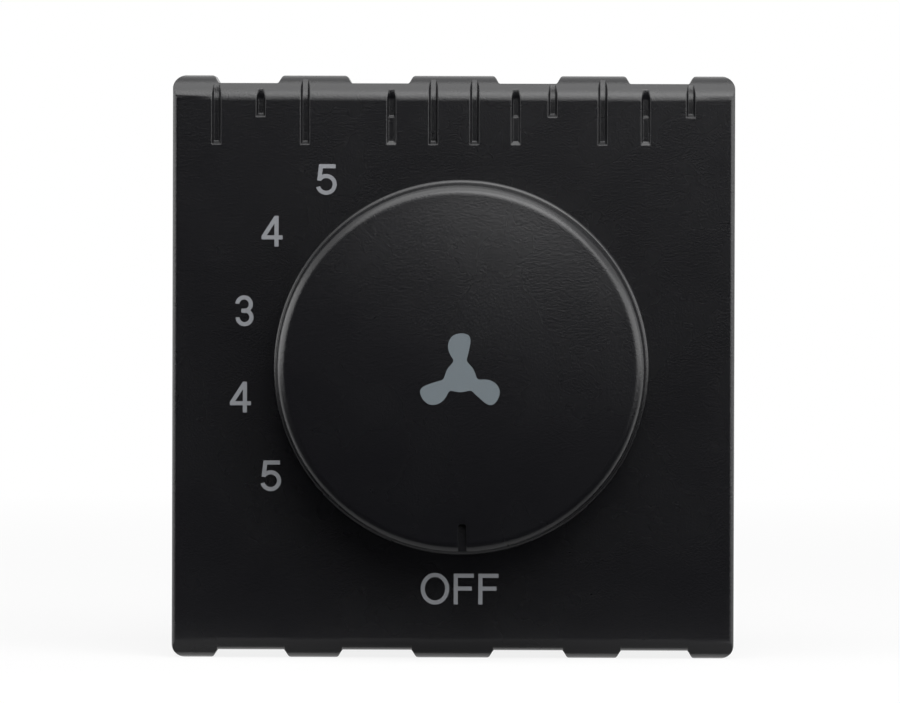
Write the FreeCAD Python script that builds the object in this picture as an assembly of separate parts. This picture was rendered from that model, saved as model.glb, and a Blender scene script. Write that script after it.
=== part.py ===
import FreeCAD, Part
import math
import os

# Fan speed control switch: a two-module rotary regulator that snaps into a wall support frame.
# Millimetres. X is to the right seen from the front, Y goes into the wall and Z is up.
# The origin is the middle of the module on the plane where the cover's rim seats on the frame.

V = FreeCAD.Vector

# Front cover
COVER_WIDTH = 45.0
COVER_HEIGHT = 45.38
COVER_DEPTH = 8.5
COVER_FACE = 2.0
COVER_WALL = 1.5
SIDE_ROUND = 0.45
CORNER_ROUND = 1.1
TOP_ROUND = 2.03
BOTTOM_ROUND = 1.05
RIM_RELIEF = 1.5

# Tabs along the cover's upper and lower edges
TAB_RISE = 0.63
TAB_LEAN = 0.36
CORNER_TAB_START = 18.85
SIDE_TAB_CENTRE = 11.15
TOP_SIDE_TAB = 5.85
TOP_MIDDLE_TAB = 7.2
BOTTOM_SIDE_TAB = 4.6
BOTTOM_MIDDLE_TAB = 6.5

# Grooves cut down from the upper edge; lengths count down from where the edge starts to roll over, and the
# turns are how many degrees of the roll a groove follows on a tab, at a tab's flank and in a gap
GROOVE_WIDTH = 0.68
GROOVE_FLOOR = 0.36
GROOVE_DEPTH = 0.35
GROOVE_SHALLOW_DEPTH = 0.2
TAB_GROOVE_TURN = 55.0
FLANK_GROOVE_TURN = 42.0
GAP_GROOVE_TURN = 28.0
LONG_GROOVE = 3.13
SHORT_GROOVE = 0.98
GROOVE_STEP = 1.2
LONG_GROOVES_AT = (-19.0, -11.9, -1.65, 1.65, 11.9)
SHORT_GROOVES_AT = (-15.45, 7.9, 18.95)
STEPPED_GROOVES_AT = (-5.0, 4.95, 15.35)

# Knob
KNOB_OFFSET = 0.65
KNOB_GAP = 0.4
KNOB_RISE = 8.5
KNOB_RADIUS = 15.0
KNOB_LIP = 0.16
KNOB_LIP_HEIGHT = 0.55
KNOB_DRAFT = 0.26
KNOB_ROUND = 0.5
KNOB_CROWN = 0.7
KNOB_WALL = 1.6
KNOB_FACE = 1.8
KNOB_RIBS = 6
KNOB_RIB_WIDTH = 0.9
KNOB_RIB_DEPTH = 3.6
KNOB_BOSS_WALL = 1.8
POINTER_WIDTH = 0.73
POINTER_LENGTH = 2.3
POINTER_DEPTH = 0.6

# Knob positions, in degrees clockwise from OFF
FIRST_SPEED = 60.0
SPEED_STEP = 21.0
SPEEDS = 5

# Spindle and its spring in the knob
SHAFT_RADIUS = 3.0
SHAFT_FLAT = 1.9
SHAFT_FIT = 0.03
SHAFT_END_GAP = 0.3
LEAF_THICKNESS = 0.3
LEAF_WIDTH = 3.0
LEAF_LENGTH = 4.6
LEAF_FIT = 0.04

# Rotor inside the switch
RUNNING_FIT = 0.05
JOURNAL_RADIUS = 4.5
JOURNAL_PROUD = 0.1
WHEEL_RADIUS = 9.0
WHEEL_THICKNESS = 2.5
WHEEL_GAP = 0.3
HUB_RADIUS = 8.2
HUB_THICKNESS = 2.8
PIVOT_RADIUS = 1.5
PIVOT_END_GAP = 0.4
LUG_INNER_RADIUS = 5.2
LUG_OUTER_RADIUS = 8.0
LUG_HEIGHT = 1.7
LUG_HALF_ANGLE = 7.0
LUG_ANGLE = 175.0

# Detent spring and the notches that it drops into
DETENT_ANGLE = 270.0
DETENT_LEAF = 0.3
DETENT_LEAF_GAP = 0.35
DETENT_LENGTH = 13.0
DETENT_BUMP_RADIUS = 1.0
DETENT_NOTCH_GAP = 0.15
DETENT_HEIGHT = 2.0
DETENT_TRAVEL = 0.6
DETENT_SHOULDER = 1.6
DETENT_FIT = 0.1

# Switch body
SEAT_GAP = 0.1
SWITCH_SIZE = 23.0
SWITCH_ROUND = 2.0
SWITCH_WALL = 1.5
CAVITY_GAP = 0.4
NECK_WALL = 1.45
NECK_SET_BACK = 0.2
NECK_GAP = 0.15
BASE_THICKNESS = 2.0
STOP_HALF_ANGLE = 5.0
STOP_GAP_ANGLE = 0.8
STOP_HEIGHT = 1.6
RIVET_INSET = 2.1
RIVET_RADIUS = 0.9
RIVET_HEAD_RADIUS = 1.6
RIVET_HEAD = 0.6

# Contacts and wiper
CONTACT_RING_RADIUS = 7.0
CONTACT_HEAD_RADIUS = 1.05
CONTACT_HEAD = 0.5
COMMON_RADIUS = 3.9
COMMON_WIDTH = 1.4
COMMON_PIN_ANGLE = 252.0
TAIL_RADIUS = 0.6
TAIL_LENGTH = 0.6
PIN_FIT = 0.05
WIPER_THICKNESS = 0.3
WIPER_WIDTH = 2.6
WIPER_REACH = 7.9
WIPER_LIFT = 1.4
WIPER_TIP_RADIUS = 0.45
WIPER_DOME_RADIUS = 0.85
CONTACT_GAP = 0.05

# Circuit board and what is soldered to it
BOARD_THICKNESS = 1.6
BOARD_GAP = 0.15
CAP_STANDOFF = 1.0
CAP_LENGTH = 22.0
CAP_LEAD_PITCH = 16.0
CAP_EDGE_ROUND = 0.8
LARGE_CAP_DEPTH = 16.0
SMALL_CAP_DEPTH = 14.0
SMALL_CAP_SHARE = 0.43
CAP_SPACING = 1.0
CAP_TOP_ROOM = 3.8
LEAD_RADIUS = 0.4
SURGE_RADIUS = 2.2
SURGE_LENGTH = 11.0
SURGE_INSET = 3.8
BLEED_RADIUS = 1.1
BLEED_LENGTH = 6.2
BLEED_SPACING = 2.8
BLEED_INSET = 2.3
RESISTOR_Z = -3.5
RESISTOR_CAP = 1.4
RESISTOR_NECK = 0.86
RESISTOR_LEAD = 1.4
RESISTOR_STANDOFF = 0.4

# Rear housing
HOUSING_WALL = 1.5
SPIGOT_GAP = 0.1
HOUSING_LAP = 3.0
HOUSING_ROUND = 1.6
BACK_ROOM = 2.0
POST_INSET = 2.8
POST_RADIUS = 3.6
BOSS_RADIUS = 2.5
FRAME_THICKNESS = 2.0
CATCH_GAP = 0.2
CATCH_AT = 14.0
CATCH_WIDTH = 6.0
CATCH_RISE = 0.9
CATCH_LENGTH = 3.4
BACK_VENTS = 6
BACK_VENT_PITCH = 3.4
BACK_VENT_LENGTH = 12.0
BACK_VENT_LOW = 1.0
SIDE_VENTS = 5
SIDE_VENT_PITCH = 3.4
SIDE_VENT_LENGTH = 10.0
SIDE_VENT_BEHIND_BOARD = 4.0
VENT_WIDTH = 1.6

# Housing screws
SCREW_RADIUS = 1.4
SCREW_FIT = 0.02
SCREW_LENGTH = 11.0
SCREW_SEAT = 3.0
SCREW_HEAD_RADIUS = 2.3
SCREW_HEAD = 1.8
SCREW_HEAD_GAP = 0.3
SCREW_HOLE_GAP = 0.2
SCREW_CROSS = 2.6
SCREW_CROSS_WIDTH = 0.7
SCREW_CROSS_DEPTH = 1.0
PILOT_EXTRA = 1.0

# Terminal block, with a rising cage at each pole
POLE_SPACING = 10.0
BLOCK_WALL = 2.0
BLOCK_ROOF = 1.0
BLOCK_GAP = 0.1
ENTRY_WALL = 4.8
WIRE_BORE_RADIUS = 1.85
WIRE_FUNNEL = 0.7
TERMINAL_HEAD_RADIUS = 2.5
TERMINAL_HEAD = 1.9
TERMINAL_HEAD_SINK = 1.6
TERMINAL_HEAD_GAP = 0.3
TERMINAL_SLOT = 0.8
TERMINAL_SLOT_DEPTH = 1.0
TERMINAL_SHANK_RADIUS = 1.5
TERMINAL_SHOULDER = 1.0
TERMINAL_END_GAP = 0.1
CAGE_WIDTH = 6.0
CAGE_LENGTH = 8.0
CAGE_SIDE = 0.8
CAGE_FLOOR = 1.8
CAGE_JAW = 1.0
CAGE_TRAVEL = 2.5
CAGE_GAP = 0.15
TONGUE_WIDTH = 3.6
TONGUE_THICKNESS = 0.8
TONGUE_GAP = 0.4
TONGUE_TAB = 1.4
WIRE_ROOM = 0.1

# Stations through the depth, from the cover's face to the back
FACE_Y = -COVER_DEPTH
COVER_INNER_Y = FACE_Y + COVER_FACE
SWITCH_FRONT_Y = COVER_INNER_Y + SEAT_GAP
CAVITY_FRONT_Y = SWITCH_FRONT_Y + SWITCH_WALL
WHEEL_FRONT_Y = CAVITY_FRONT_Y + WHEEL_GAP
WHEEL_BACK_Y = WHEEL_FRONT_Y + WHEEL_THICKNESS
HUB_BACK_Y = WHEEL_BACK_Y + HUB_THICKNESS
WIPER_BACK_Y = HUB_BACK_Y + WIPER_THICKNESS
CONTACT_FRONT_Y = WIPER_BACK_Y + WIPER_LIFT
BASE_FRONT_Y = CONTACT_FRONT_Y + CONTACT_HEAD
BOARD_FRONT_Y = BASE_FRONT_Y + BASE_THICKNESS
BOARD_BACK_Y = BOARD_FRONT_Y + BOARD_THICKNESS
TAIL_END_Y = BOARD_BACK_Y + TAIL_LENGTH
CAP_FRONT_Y = BOARD_BACK_Y + CAP_STANDOFF
BACK_INNER_Y = CAP_FRONT_Y + LARGE_CAP_DEPTH + BACK_ROOM
BACK_Y = BACK_INNER_Y + HOUSING_WALL
NECK_FRONT_Y = FACE_Y + NECK_SET_BACK
JOURNAL_FRONT_Y = FACE_Y - JOURNAL_PROUD
KNOB_BASE_Y = FACE_Y - KNOB_GAP
KNOB_CROWN_Y = FACE_Y - KNOB_RISE
KNOB_EDGE_Y = KNOB_CROWN_Y + KNOB_CROWN
KNOB_CEILING_Y = KNOB_EDGE_Y + KNOB_FACE
SHAFT_FRONT_Y = KNOB_CEILING_Y + SHAFT_END_GAP
SCREW_SEAT_Y = BOARD_BACK_Y + SCREW_SEAT

# Half sizes across the module
COVER_X = COVER_WIDTH / 2
COVER_Z = COVER_HEIGHT / 2
TAB_Z = COVER_Z + TAB_RISE
TOP_EDGE_Z = TAB_Z - TOP_ROUND
COVER_INNER_X = COVER_X - COVER_WALL
COVER_INNER_Z = COVER_Z - COVER_WALL
HOUSING_X = COVER_INNER_X - SPIGOT_GAP
HOUSING_Z = COVER_INNER_Z - SPIGOT_GAP
INNER_X = HOUSING_X - HOUSING_WALL
INNER_Z = HOUSING_Z - HOUSING_WALL
POST_X = INNER_X - POST_INSET
POST_Z = INNER_Z - POST_INSET
POST_PLACES = [(sx * POST_X, sz * POST_Z) for sx in (-1, 1) for sz in (-1, 1)]
NECK_RADIUS = JOURNAL_RADIUS + RUNNING_FIT + NECK_WALL
CAVITY_RADIUS = WHEEL_RADIUS + CAVITY_GAP
SWITCH_HALF = SWITCH_SIZE / 2
RIVET_PLACES = [(s * (SWITCH_HALF - RIVET_INSET), -s * (SWITCH_HALF - RIVET_INSET)) for s in (-1, 1)]
POSITIONS = [0.0] + [FIRST_SPEED + SPEED_STEP * k for k in range(SPEEDS)]
LAST_POSITION = POSITIONS[-1]

# Stations up through the terminal block
BLOCK_X = POLE_SPACING / 2 + CAGE_WIDTH / 2 + CAGE_GAP + BLOCK_WALL
BLOCK_BOTTOM_Z = -HOUSING_Z
TERMINAL_HEAD_BOTTOM_Z = BLOCK_BOTTOM_Z + TERMINAL_HEAD_SINK
TERMINAL_HEAD_TOP_Z = TERMINAL_HEAD_BOTTOM_Z + TERMINAL_HEAD
SHOULDER_BOTTOM_Z = TERMINAL_HEAD_TOP_Z + TERMINAL_END_GAP
CHAMBER_BOTTOM_Z = SHOULDER_BOTTOM_Z + TERMINAL_SHOULDER
CAGE_BOTTOM_Z = CHAMBER_BOTTOM_Z + TERMINAL_END_GAP + CAGE_TRAVEL
CAGE_FLOOR_Z = CAGE_BOTTOM_Z + CAGE_FLOOR
TONGUE_BOTTOM_Z = CAGE_FLOOR_Z + TONGUE_GAP
TONGUE_TOP_Z = TONGUE_BOTTOM_Z + TONGUE_THICKNESS
JAW_Z = TONGUE_TOP_Z + 2 * WIRE_BORE_RADIUS + WIRE_ROOM
CAGE_TOP_Z = JAW_Z + CAGE_JAW
CHAMBER_TOP_Z = CAGE_TOP_Z + CAGE_GAP
BLOCK_TOP_Z = CHAMBER_TOP_Z + BLOCK_ROOF
WIRE_Z = (TONGUE_TOP_Z + JAW_Z) / 2
CHAMBER_BACK_Y = BACK_Y - ENTRY_WALL
CAGE_BACK_Y = CHAMBER_BACK_Y - CAGE_GAP
CAGE_FRONT_Y = CAGE_BACK_Y - CAGE_LENGTH
TERMINAL_SCREW_Y = (CAGE_FRONT_Y + CAGE_BACK_Y) / 2
POLES_X = (-POLE_SPACING / 2, POLE_SPACING / 2)

# Places on the board, stacked upwards from the terminal block to the housing's upper wall
CAPS_THICKNESS = INNER_Z - CAP_TOP_ROOM - BLOCK_TOP_Z - 2 * CAP_SPACING
SMALL_CAP_THICKNESS = CAPS_THICKNESS * SMALL_CAP_SHARE
LARGE_CAP_THICKNESS = CAPS_THICKNESS - SMALL_CAP_THICKNESS
SMALL_CAP_Z = BLOCK_TOP_Z + CAP_SPACING + SMALL_CAP_THICKNESS / 2
LARGE_CAP_Z = SMALL_CAP_Z + SMALL_CAP_THICKNESS / 2 + CAP_SPACING + LARGE_CAP_THICKNESS / 2
SURGE_X = INNER_X - SURGE_INSET
BLEED_PLACES_X = [-(INNER_X - BLEED_INSET - BLEED_SPACING * k) for k in range(2)]

# How far a cutting tool runs past the face that it opens
PAST = 1.0

# An edge this near to a face lies on it
ON_FACE = 1e-6


def block(x0, x1, y0, y1, z0, z1):
    """A box between two corners."""
    return Part.makeBox(x1 - x0, y1 - y0, z1 - z0, V(x0, y0, z0))


def rod_y(x, z, radius, y0, y1):
    """A cylinder along the depth."""
    return Part.makeCylinder(radius, y1 - y0, V(x, y0, z), V(0, 1, 0))


def rod_z(x, y, radius, z0, z1):
    """A cylinder along the height."""
    return Part.makeCylinder(radius, z1 - z0, V(x, y, z0), V(0, 0, 1))


def prism(points, run):
    """A polygon swept in a straight line."""
    return Part.Face(Part.makePolygon(points + points[:1])).extrude(run)


def rounded_block(x, z, half_x, half_z, radius, y0, y1):
    """A bar along the depth with its four long edges rounded."""
    bar = block(x - half_x, x + half_x, y0, y1, z - half_z, z + half_z)
    long_edges = [e for e in bar.Edges if abs(e.tangentAt(e.FirstParameter).y) > 0.9]
    return bar.makeFillet(radius, long_edges)


def on_dial(angle, radius, y):
    """The point at an angle clockwise from OFF and a radius about the knob's axis."""
    turn = math.radians(angle)
    return V(KNOB_OFFSET - radius * math.sin(turn), y, -radius * math.cos(turn))


def dial_turn(shape, angle):
    """A copy of a shape turned clockwise about the knob's axis."""
    copy = shape.copy()
    copy.rotate(V(KNOB_OFFSET, 0, 0), V(0, 1, 0), angle)
    return copy


def dial_segment(inner, outer, middle, half_angle, y0, y1):
    """A piece of a ring about the knob's axis."""
    low, high = middle - half_angle, middle + half_angle
    outline = Part.Wire([
        Part.Arc(on_dial(low, outer, y0), on_dial(middle, outer, y0), on_dial(high, outer, y0)).toShape(),
        Part.makeLine(on_dial(high, outer, y0), on_dial(high, inner, y0)),
        Part.Arc(on_dial(high, inner, y0), on_dial(middle, inner, y0), on_dial(low, inner, y0)).toShape(),
        Part.makeLine(on_dial(low, inner, y0), on_dial(low, outer, y0)),
    ])
    return Part.Face(outline).extrude(V(0, y1 - y0, 0))


def turned(edges):
    """A closed half section about the knob's axis, turned into a solid."""
    return Part.Face(Part.Wire(edges)).revolve(V(KNOB_OFFSET, 0, 0), V(0, 1, 0), 360)


# Front cover

def edge_bar(rise):
    """The cover's side-view section, raised by the tabs' height, swept across its width.

    One roll runs along the whole upper edge and is cut flat at the section's top; the lower edge has a roll
    of its own on the tabs and in the gaps.
    """
    top, bottom = COVER_Z + rise, -COVER_Z - rise
    bottom_round = BOTTOM_ROUND + rise
    bevel = 1 - math.sqrt(0.5)
    turn = math.asin(min(1, (top - TOP_EDGE_Z) / TOP_ROUND))

    def at(y, z):
        return V(-COVER_X, y, z)

    def on_roll(angle):
        return at(FACE_Y + TOP_ROUND * (1 - math.cos(angle)), TOP_EDGE_Z + TOP_ROUND * math.sin(angle))

    section = Part.Wire([
        Part.makeLine(at(0, bottom), at(0, top)),
        Part.makeLine(at(0, top), on_roll(turn)),
        Part.Arc(on_roll(turn), on_roll(turn / 2), on_roll(0)).toShape(),
        Part.makeLine(on_roll(0), at(FACE_Y, bottom + bottom_round)),
        Part.Arc(at(FACE_Y, bottom + bottom_round),
                 at(FACE_Y + bottom_round * bevel, bottom + bottom_round * bevel),
                 at(FACE_Y + bottom_round, bottom)).toShape(),
        Part.makeLine(at(FACE_Y + bottom_round, bottom), at(0, bottom)),
    ])
    return Part.Face(section).extrude(V(COVER_WIDTH, 0, 0))


def tab_spans(side_width, middle_width):
    """Where the tabs of one edge start and end at their feet."""
    spans = [(-COVER_X, -CORNER_TAB_START), (CORNER_TAB_START, COVER_X),
             (-middle_width / 2, middle_width / 2)]
    for side in (-1, 1):
        spans.append((side * SIDE_TAB_CENTRE - side_width / 2, side * SIDE_TAB_CENTRE + side_width / 2))
    return spans


TOP_TABS = tab_spans(TOP_SIDE_TAB, TOP_MIDDLE_TAB)
BOTTOM_TABS = tab_spans(BOTTOM_SIDE_TAB, BOTTOM_MIDDLE_TAB)


def tab_window(span, up):
    """The front view of one tab, with leaning flanks, swept through the depth."""
    low, high = span
    lean_low = 0 if low <= -COVER_X else TAB_LEAN
    lean_high = 0 if high >= COVER_X else TAB_LEAN
    outline = [(low, 0), (high, 0), (high, COVER_Z), (high - lean_high, TAB_Z), (low + lean_low, TAB_Z),
               (low, COVER_Z)]
    return prism([V(x, FACE_Y, up * z) for x, z in outline], V(0, COVER_DEPTH, 0))


def cover_blank():
    """The outer form of the cover: rolled edges, tabs, and rounded sides and corners."""
    windows = [tab_window(span, 1) for span in TOP_TABS] + [tab_window(span, -1) for span in BOTTOM_TABS]
    tabs = edge_bar(TAB_RISE).common(windows[0].multiFuse(windows[1:]))
    blank = edge_bar(0).fuse(tabs)
    corners = rounded_block(0, 0, COVER_X, TAB_Z, CORNER_ROUND, FACE_Y, 0)
    upright = block(-COVER_X, COVER_X, FACE_Y, 0, -TAB_Z, TAB_Z)
    front_sides = [e for e in upright.Edges
                   if abs(e.CenterOfMass.y - FACE_Y) < ON_FACE and abs(e.CenterOfMass.x) > COVER_X - ON_FACE]
    return blank.common(corners.common(upright.makeFillet(SIDE_ROUND, front_sides))).removeSplitter()


def groove_section(x, depth, z):
    """The tapered cross-section of a groove, opened a little in front of the face."""
    slope = (GROOVE_WIDTH - GROOVE_FLOOR) / 2 / depth
    mouth = GROOVE_WIDTH / 2 + slope * depth
    floor = GROOVE_FLOOR / 2
    return [V(x - floor, FACE_Y + depth, z), V(x + floor, FACE_Y + depth, z),
            V(x + mouth, FACE_Y - depth, z), V(x - mouth, FACE_Y - depth, z)]


def groove_tool(x, length, depth):
    """A cutter for one groove: a rounded lower end, a straight run, and a turn up the rolled edge."""
    foot_z = TOP_EDGE_Z - length
    floor = GROOVE_FLOOR / 2
    mouth = GROOVE_WIDTH - floor
    foot = Part.makeCone(floor, mouth, 2 * depth, V(x, FACE_Y + depth, foot_z), V(0, -1, 0))
    run = prism(groove_section(x, depth, foot_z), V(0, 0, length))
    section = groove_section(x, depth, TOP_EDGE_Z)
    roll_centre = V(x, FACE_Y + TOP_ROUND, TOP_EDGE_Z)
    face = Part.Face(Part.makePolygon(section + section[:1]))
    return foot.multiFuse([run, face.revolve(roll_centre, V(1, 0, 0), -groove_turn(x))])


def groove_turn(x):
    """How far a groove follows the roll: up to the edge at a tab's flank, less in a gap and more on a tab."""
    if any(abs(x - foot) < GROOVE_WIDTH for span in TOP_TABS for foot in span):
        return FLANK_GROOVE_TURN
    return TAB_GROOVE_TURN if any(low < x < high for low, high in TOP_TABS) else GAP_GROOVE_TURN


def groove_tools():
    """All the cutters along the upper edge."""
    tools = [groove_tool(x, LONG_GROOVE, GROOVE_DEPTH) for x in LONG_GROOVES_AT]
    tools += [groove_tool(x, SHORT_GROOVE, GROOVE_DEPTH) for x in SHORT_GROOVES_AT]
    for x in STEPPED_GROOVES_AT:
        tools.append(groove_tool(x, LONG_GROOVE, GROOVE_SHALLOW_DEPTH))
        tools.append(groove_tool(x, GROOVE_STEP, GROOVE_DEPTH))
    return tools


def front_cover():
    """The moulded cover: a cap with screw bosses, a hole for the switch's neck and a relieved rim."""
    cover = cover_blank()
    cavity = block(-COVER_INNER_X, COVER_INNER_X, COVER_INNER_Y, PAST, -COVER_INNER_Z, COVER_INNER_Z)
    cover = cover.cut(cavity)
    bosses = [rod_y(x, z, BOSS_RADIUS, COVER_INNER_Y, BOARD_FRONT_Y - SEAT_GAP) for x, z in POST_PLACES]
    cover = cover.multiFuse(bosses)
    cuts = [rod_y(KNOB_OFFSET, 0, NECK_RADIUS + NECK_GAP, FACE_Y - PAST, COVER_INNER_Y + PAST)]
    pilot_end_y = SCREW_SEAT_Y - SCREW_LENGTH - PILOT_EXTRA
    for x, z in POST_PLACES:
        cuts.append(rod_y(x, z, SCREW_RADIUS + SCREW_FIT, pilot_end_y, BOARD_FRONT_Y))
    for z0, z1 in ((COVER_INNER_Z, TAB_Z + PAST), (-TAB_Z - PAST, -COVER_INNER_Z)):
        cuts.append(block(-COVER_INNER_X, COVER_INNER_X, -RIM_RELIEF, PAST, z0, z1))
    return cover.cut(cuts + groove_tools())


# Knob, its spring and the turning group

def knob():
    """The knob: a drafted cup with a base lip, a crowned face, ribs, a D bore and the pointer groove."""
    lip, wall = KNOB_RADIUS, KNOB_RADIUS - KNOB_LIP
    shoulder = wall - KNOB_DRAFT
    rim = shoulder - KNOB_ROUND
    lip_top_y = KNOB_BASE_Y - KNOB_LIP_HEIGHT
    inner = wall - KNOB_WALL
    inner_top = shoulder - KNOB_WALL

    def at(radius, y):
        return V(KNOB_OFFSET + radius, y, 0)

    crown_mid_y = KNOB_CROWN_Y + KNOB_CROWN / 4
    bevel = 1 - math.sqrt(0.5)
    shell = turned([
        Part.makeLine(at(inner, KNOB_BASE_Y), at(lip, KNOB_BASE_Y)),
        Part.makeLine(at(lip, KNOB_BASE_Y), at(lip, lip_top_y + KNOB_LIP)),
        Part.makeLine(at(lip, lip_top_y + KNOB_LIP), at(wall, lip_top_y)),
        Part.makeLine(at(wall, lip_top_y), at(shoulder, KNOB_EDGE_Y + KNOB_ROUND)),
        Part.Arc(at(shoulder, KNOB_EDGE_Y + KNOB_ROUND),
                 at(shoulder - KNOB_ROUND * bevel, KNOB_EDGE_Y + KNOB_ROUND * bevel),
                 at(rim, KNOB_EDGE_Y)).toShape(),
        Part.Arc(at(rim, KNOB_EDGE_Y), at(rim / 2, crown_mid_y), at(0, KNOB_CROWN_Y)).toShape(),
        Part.makeLine(at(0, KNOB_CROWN_Y), at(0, KNOB_CEILING_Y)),
        Part.makeLine(at(0, KNOB_CEILING_Y), at(inner_top, KNOB_CEILING_Y)),
        Part.makeLine(at(inner_top, KNOB_CEILING_Y), at(inner, KNOB_BASE_Y)),
    ])
    bore = SHAFT_RADIUS + SHAFT_FIT
    boss = rod_y(KNOB_OFFSET, 0, bore + KNOB_BOSS_WALL, KNOB_CEILING_Y, KNOB_BASE_Y)
    rib = block(KNOB_OFFSET - KNOB_RIB_WIDTH / 2, KNOB_OFFSET + KNOB_RIB_WIDTH / 2,
                KNOB_CEILING_Y, KNOB_CEILING_Y + KNOB_RIB_DEPTH, bore, inner_top + KNOB_WALL / 2)
    ribs = [dial_turn(rib, 360 / KNOB_RIBS * k) for k in range(KNOB_RIBS)]
    body = shell.multiFuse([boss] + ribs)
    flat_z = SHAFT_FLAT + LEAF_THICKNESS + 2 * LEAF_FIT
    d_bore = rod_y(KNOB_OFFSET, 0, bore, KNOB_CEILING_Y, KNOB_BASE_Y + PAST)
    d_bore = d_bore.cut(block(KNOB_OFFSET - bore, KNOB_OFFSET + bore, KNOB_CEILING_Y, KNOB_BASE_Y + PAST,
                              flat_z, bore + PAST))
    return body.cut([d_bore, pointer_tool()])


def pointer_tool():
    """The cutter for the pointer groove, which runs out through the knob's rim."""
    half = POINTER_WIDTH / 2
    floor_y = KNOB_EDGE_Y + POINTER_DEPTH
    inner_end = KNOB_RADIUS - KNOB_LIP - KNOB_DRAFT - POINTER_LENGTH
    slot = block(KNOB_OFFSET - half, KNOB_OFFSET + half, KNOB_CROWN_Y - PAST, floor_y,
                 -KNOB_RADIUS - PAST, -(inner_end + half))
    return slot.fuse(rod_y(KNOB_OFFSET, -(inner_end + half), half, KNOB_CROWN_Y - PAST, floor_y))


def knob_spring():
    """The flat leaf that takes up the play between the knob's bore and the spindle's flat."""
    low_z = SHAFT_FLAT + LEAF_FIT
    front_y = SHAFT_FRONT_Y + SHAFT_END_GAP
    leaf = block(KNOB_OFFSET - LEAF_WIDTH / 2, KNOB_OFFSET + LEAF_WIDTH / 2, front_y, front_y + LEAF_LENGTH,
                 low_z, low_z + LEAF_THICKNESS)
    corners = [e for e in leaf.Edges if abs(e.tangentAt(e.FirstParameter).z) > 0.9]
    return leaf.makeFillet(LEAF_WIDTH / 6, corners)


def rotor():
    """The moulded rotor: D spindle, journal, notched detent wheel, hub, stop lug and rear pivot."""
    spindle = rod_y(KNOB_OFFSET, 0, SHAFT_RADIUS, SHAFT_FRONT_Y, WHEEL_FRONT_Y)
    flat = block(KNOB_OFFSET - SHAFT_RADIUS, KNOB_OFFSET + SHAFT_RADIUS, SHAFT_FRONT_Y, JOURNAL_FRONT_Y,
                 SHAFT_FLAT, SHAFT_RADIUS + PAST)
    journal = rod_y(KNOB_OFFSET, 0, JOURNAL_RADIUS, JOURNAL_FRONT_Y, WHEEL_FRONT_Y)
    wheel = rod_y(KNOB_OFFSET, 0, WHEEL_RADIUS, WHEEL_FRONT_Y, WHEEL_BACK_Y)
    hub = rod_y(KNOB_OFFSET, 0, HUB_RADIUS, WHEEL_BACK_Y, HUB_BACK_Y)
    pivot = rod_y(KNOB_OFFSET, 0, PIVOT_RADIUS, HUB_BACK_Y, BOARD_FRONT_Y - PIVOT_END_GAP)
    lug = dial_segment(LUG_INNER_RADIUS, LUG_OUTER_RADIUS, LUG_ANGLE, LUG_HALF_ANGLE,
                       HUB_BACK_Y, HUB_BACK_Y + LUG_HEIGHT)
    notches = []
    for position in POSITIONS:
        centre = on_dial(DETENT_ANGLE - position, detent_centre(), 0)
        notches.append(rod_y(centre.x, centre.z, DETENT_BUMP_RADIUS + DETENT_NOTCH_GAP,
                             WHEEL_FRONT_Y - PAST, WHEEL_BACK_Y))
    turned_parts = spindle.cut(flat).multiFuse([journal, wheel.cut(notches), hub, pivot, lug])
    return turned_parts.removeSplitter()


def wiper_contact():
    """The springy bridge on the rotor's back: a ring round the pivot and an arm with two domed tips."""
    ring = rod_y(KNOB_OFFSET, 0, COMMON_RADIUS, HUB_BACK_Y, WIPER_BACK_Y)
    arm = block(KNOB_OFFSET - WIPER_WIDTH / 2, KNOB_OFFSET + WIPER_WIDTH / 2, HUB_BACK_Y, WIPER_BACK_Y,
                -WIPER_REACH, 0)
    tip_y = CONTACT_FRONT_Y - CONTACT_GAP
    tips = [Part.makeCone(WIPER_DOME_RADIUS, WIPER_TIP_RADIUS, tip_y - WIPER_BACK_Y,
                          on_dial(0, radius, WIPER_BACK_Y), V(0, 1, 0))
            for radius in (COMMON_RADIUS, CONTACT_RING_RADIUS)]
    hole = rod_y(KNOB_OFFSET, 0, PIVOT_RADIUS + PIN_FIT, HUB_BACK_Y, WIPER_BACK_Y)
    return ring.multiFuse([arm] + tips).cut(hole).removeSplitter()


# Switch body, detent and contacts

def detent_centre():
    """The radius on which the detent spring's bump is bent."""
    return WHEEL_RADIUS + DETENT_LEAF_GAP + DETENT_LEAF


def detent_spring():
    """The detent leaf: a straight strip with a half-round bump that sits in the OFF notch."""
    y0 = WHEEL_FRONT_Y + (WHEEL_THICKNESS - DETENT_HEIGHT) / 2
    y1 = y0 + DETENT_HEIGHT
    inner = WHEEL_RADIUS + DETENT_LEAF_GAP
    strip = block(KNOB_OFFSET - DETENT_LENGTH / 2, KNOB_OFFSET + DETENT_LENGTH / 2, y0, y1,
                  -inner - DETENT_LEAF, -inner)
    bend = rod_y(KNOB_OFFSET, -detent_centre(), DETENT_BUMP_RADIUS, y0, y1)
    back = block(KNOB_OFFSET - DETENT_LENGTH, KNOB_OFFSET + DETENT_LENGTH, y0, y1,
                 -detent_centre() - DETENT_LENGTH, -detent_centre())
    hollow = rod_y(KNOB_OFFSET, -detent_centre(), DETENT_BUMP_RADIUS - DETENT_LEAF, y0, y1)
    return dial_turn(strip.fuse(bend.cut(back)).cut(hollow).removeSplitter(), DETENT_ANGLE)


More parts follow.
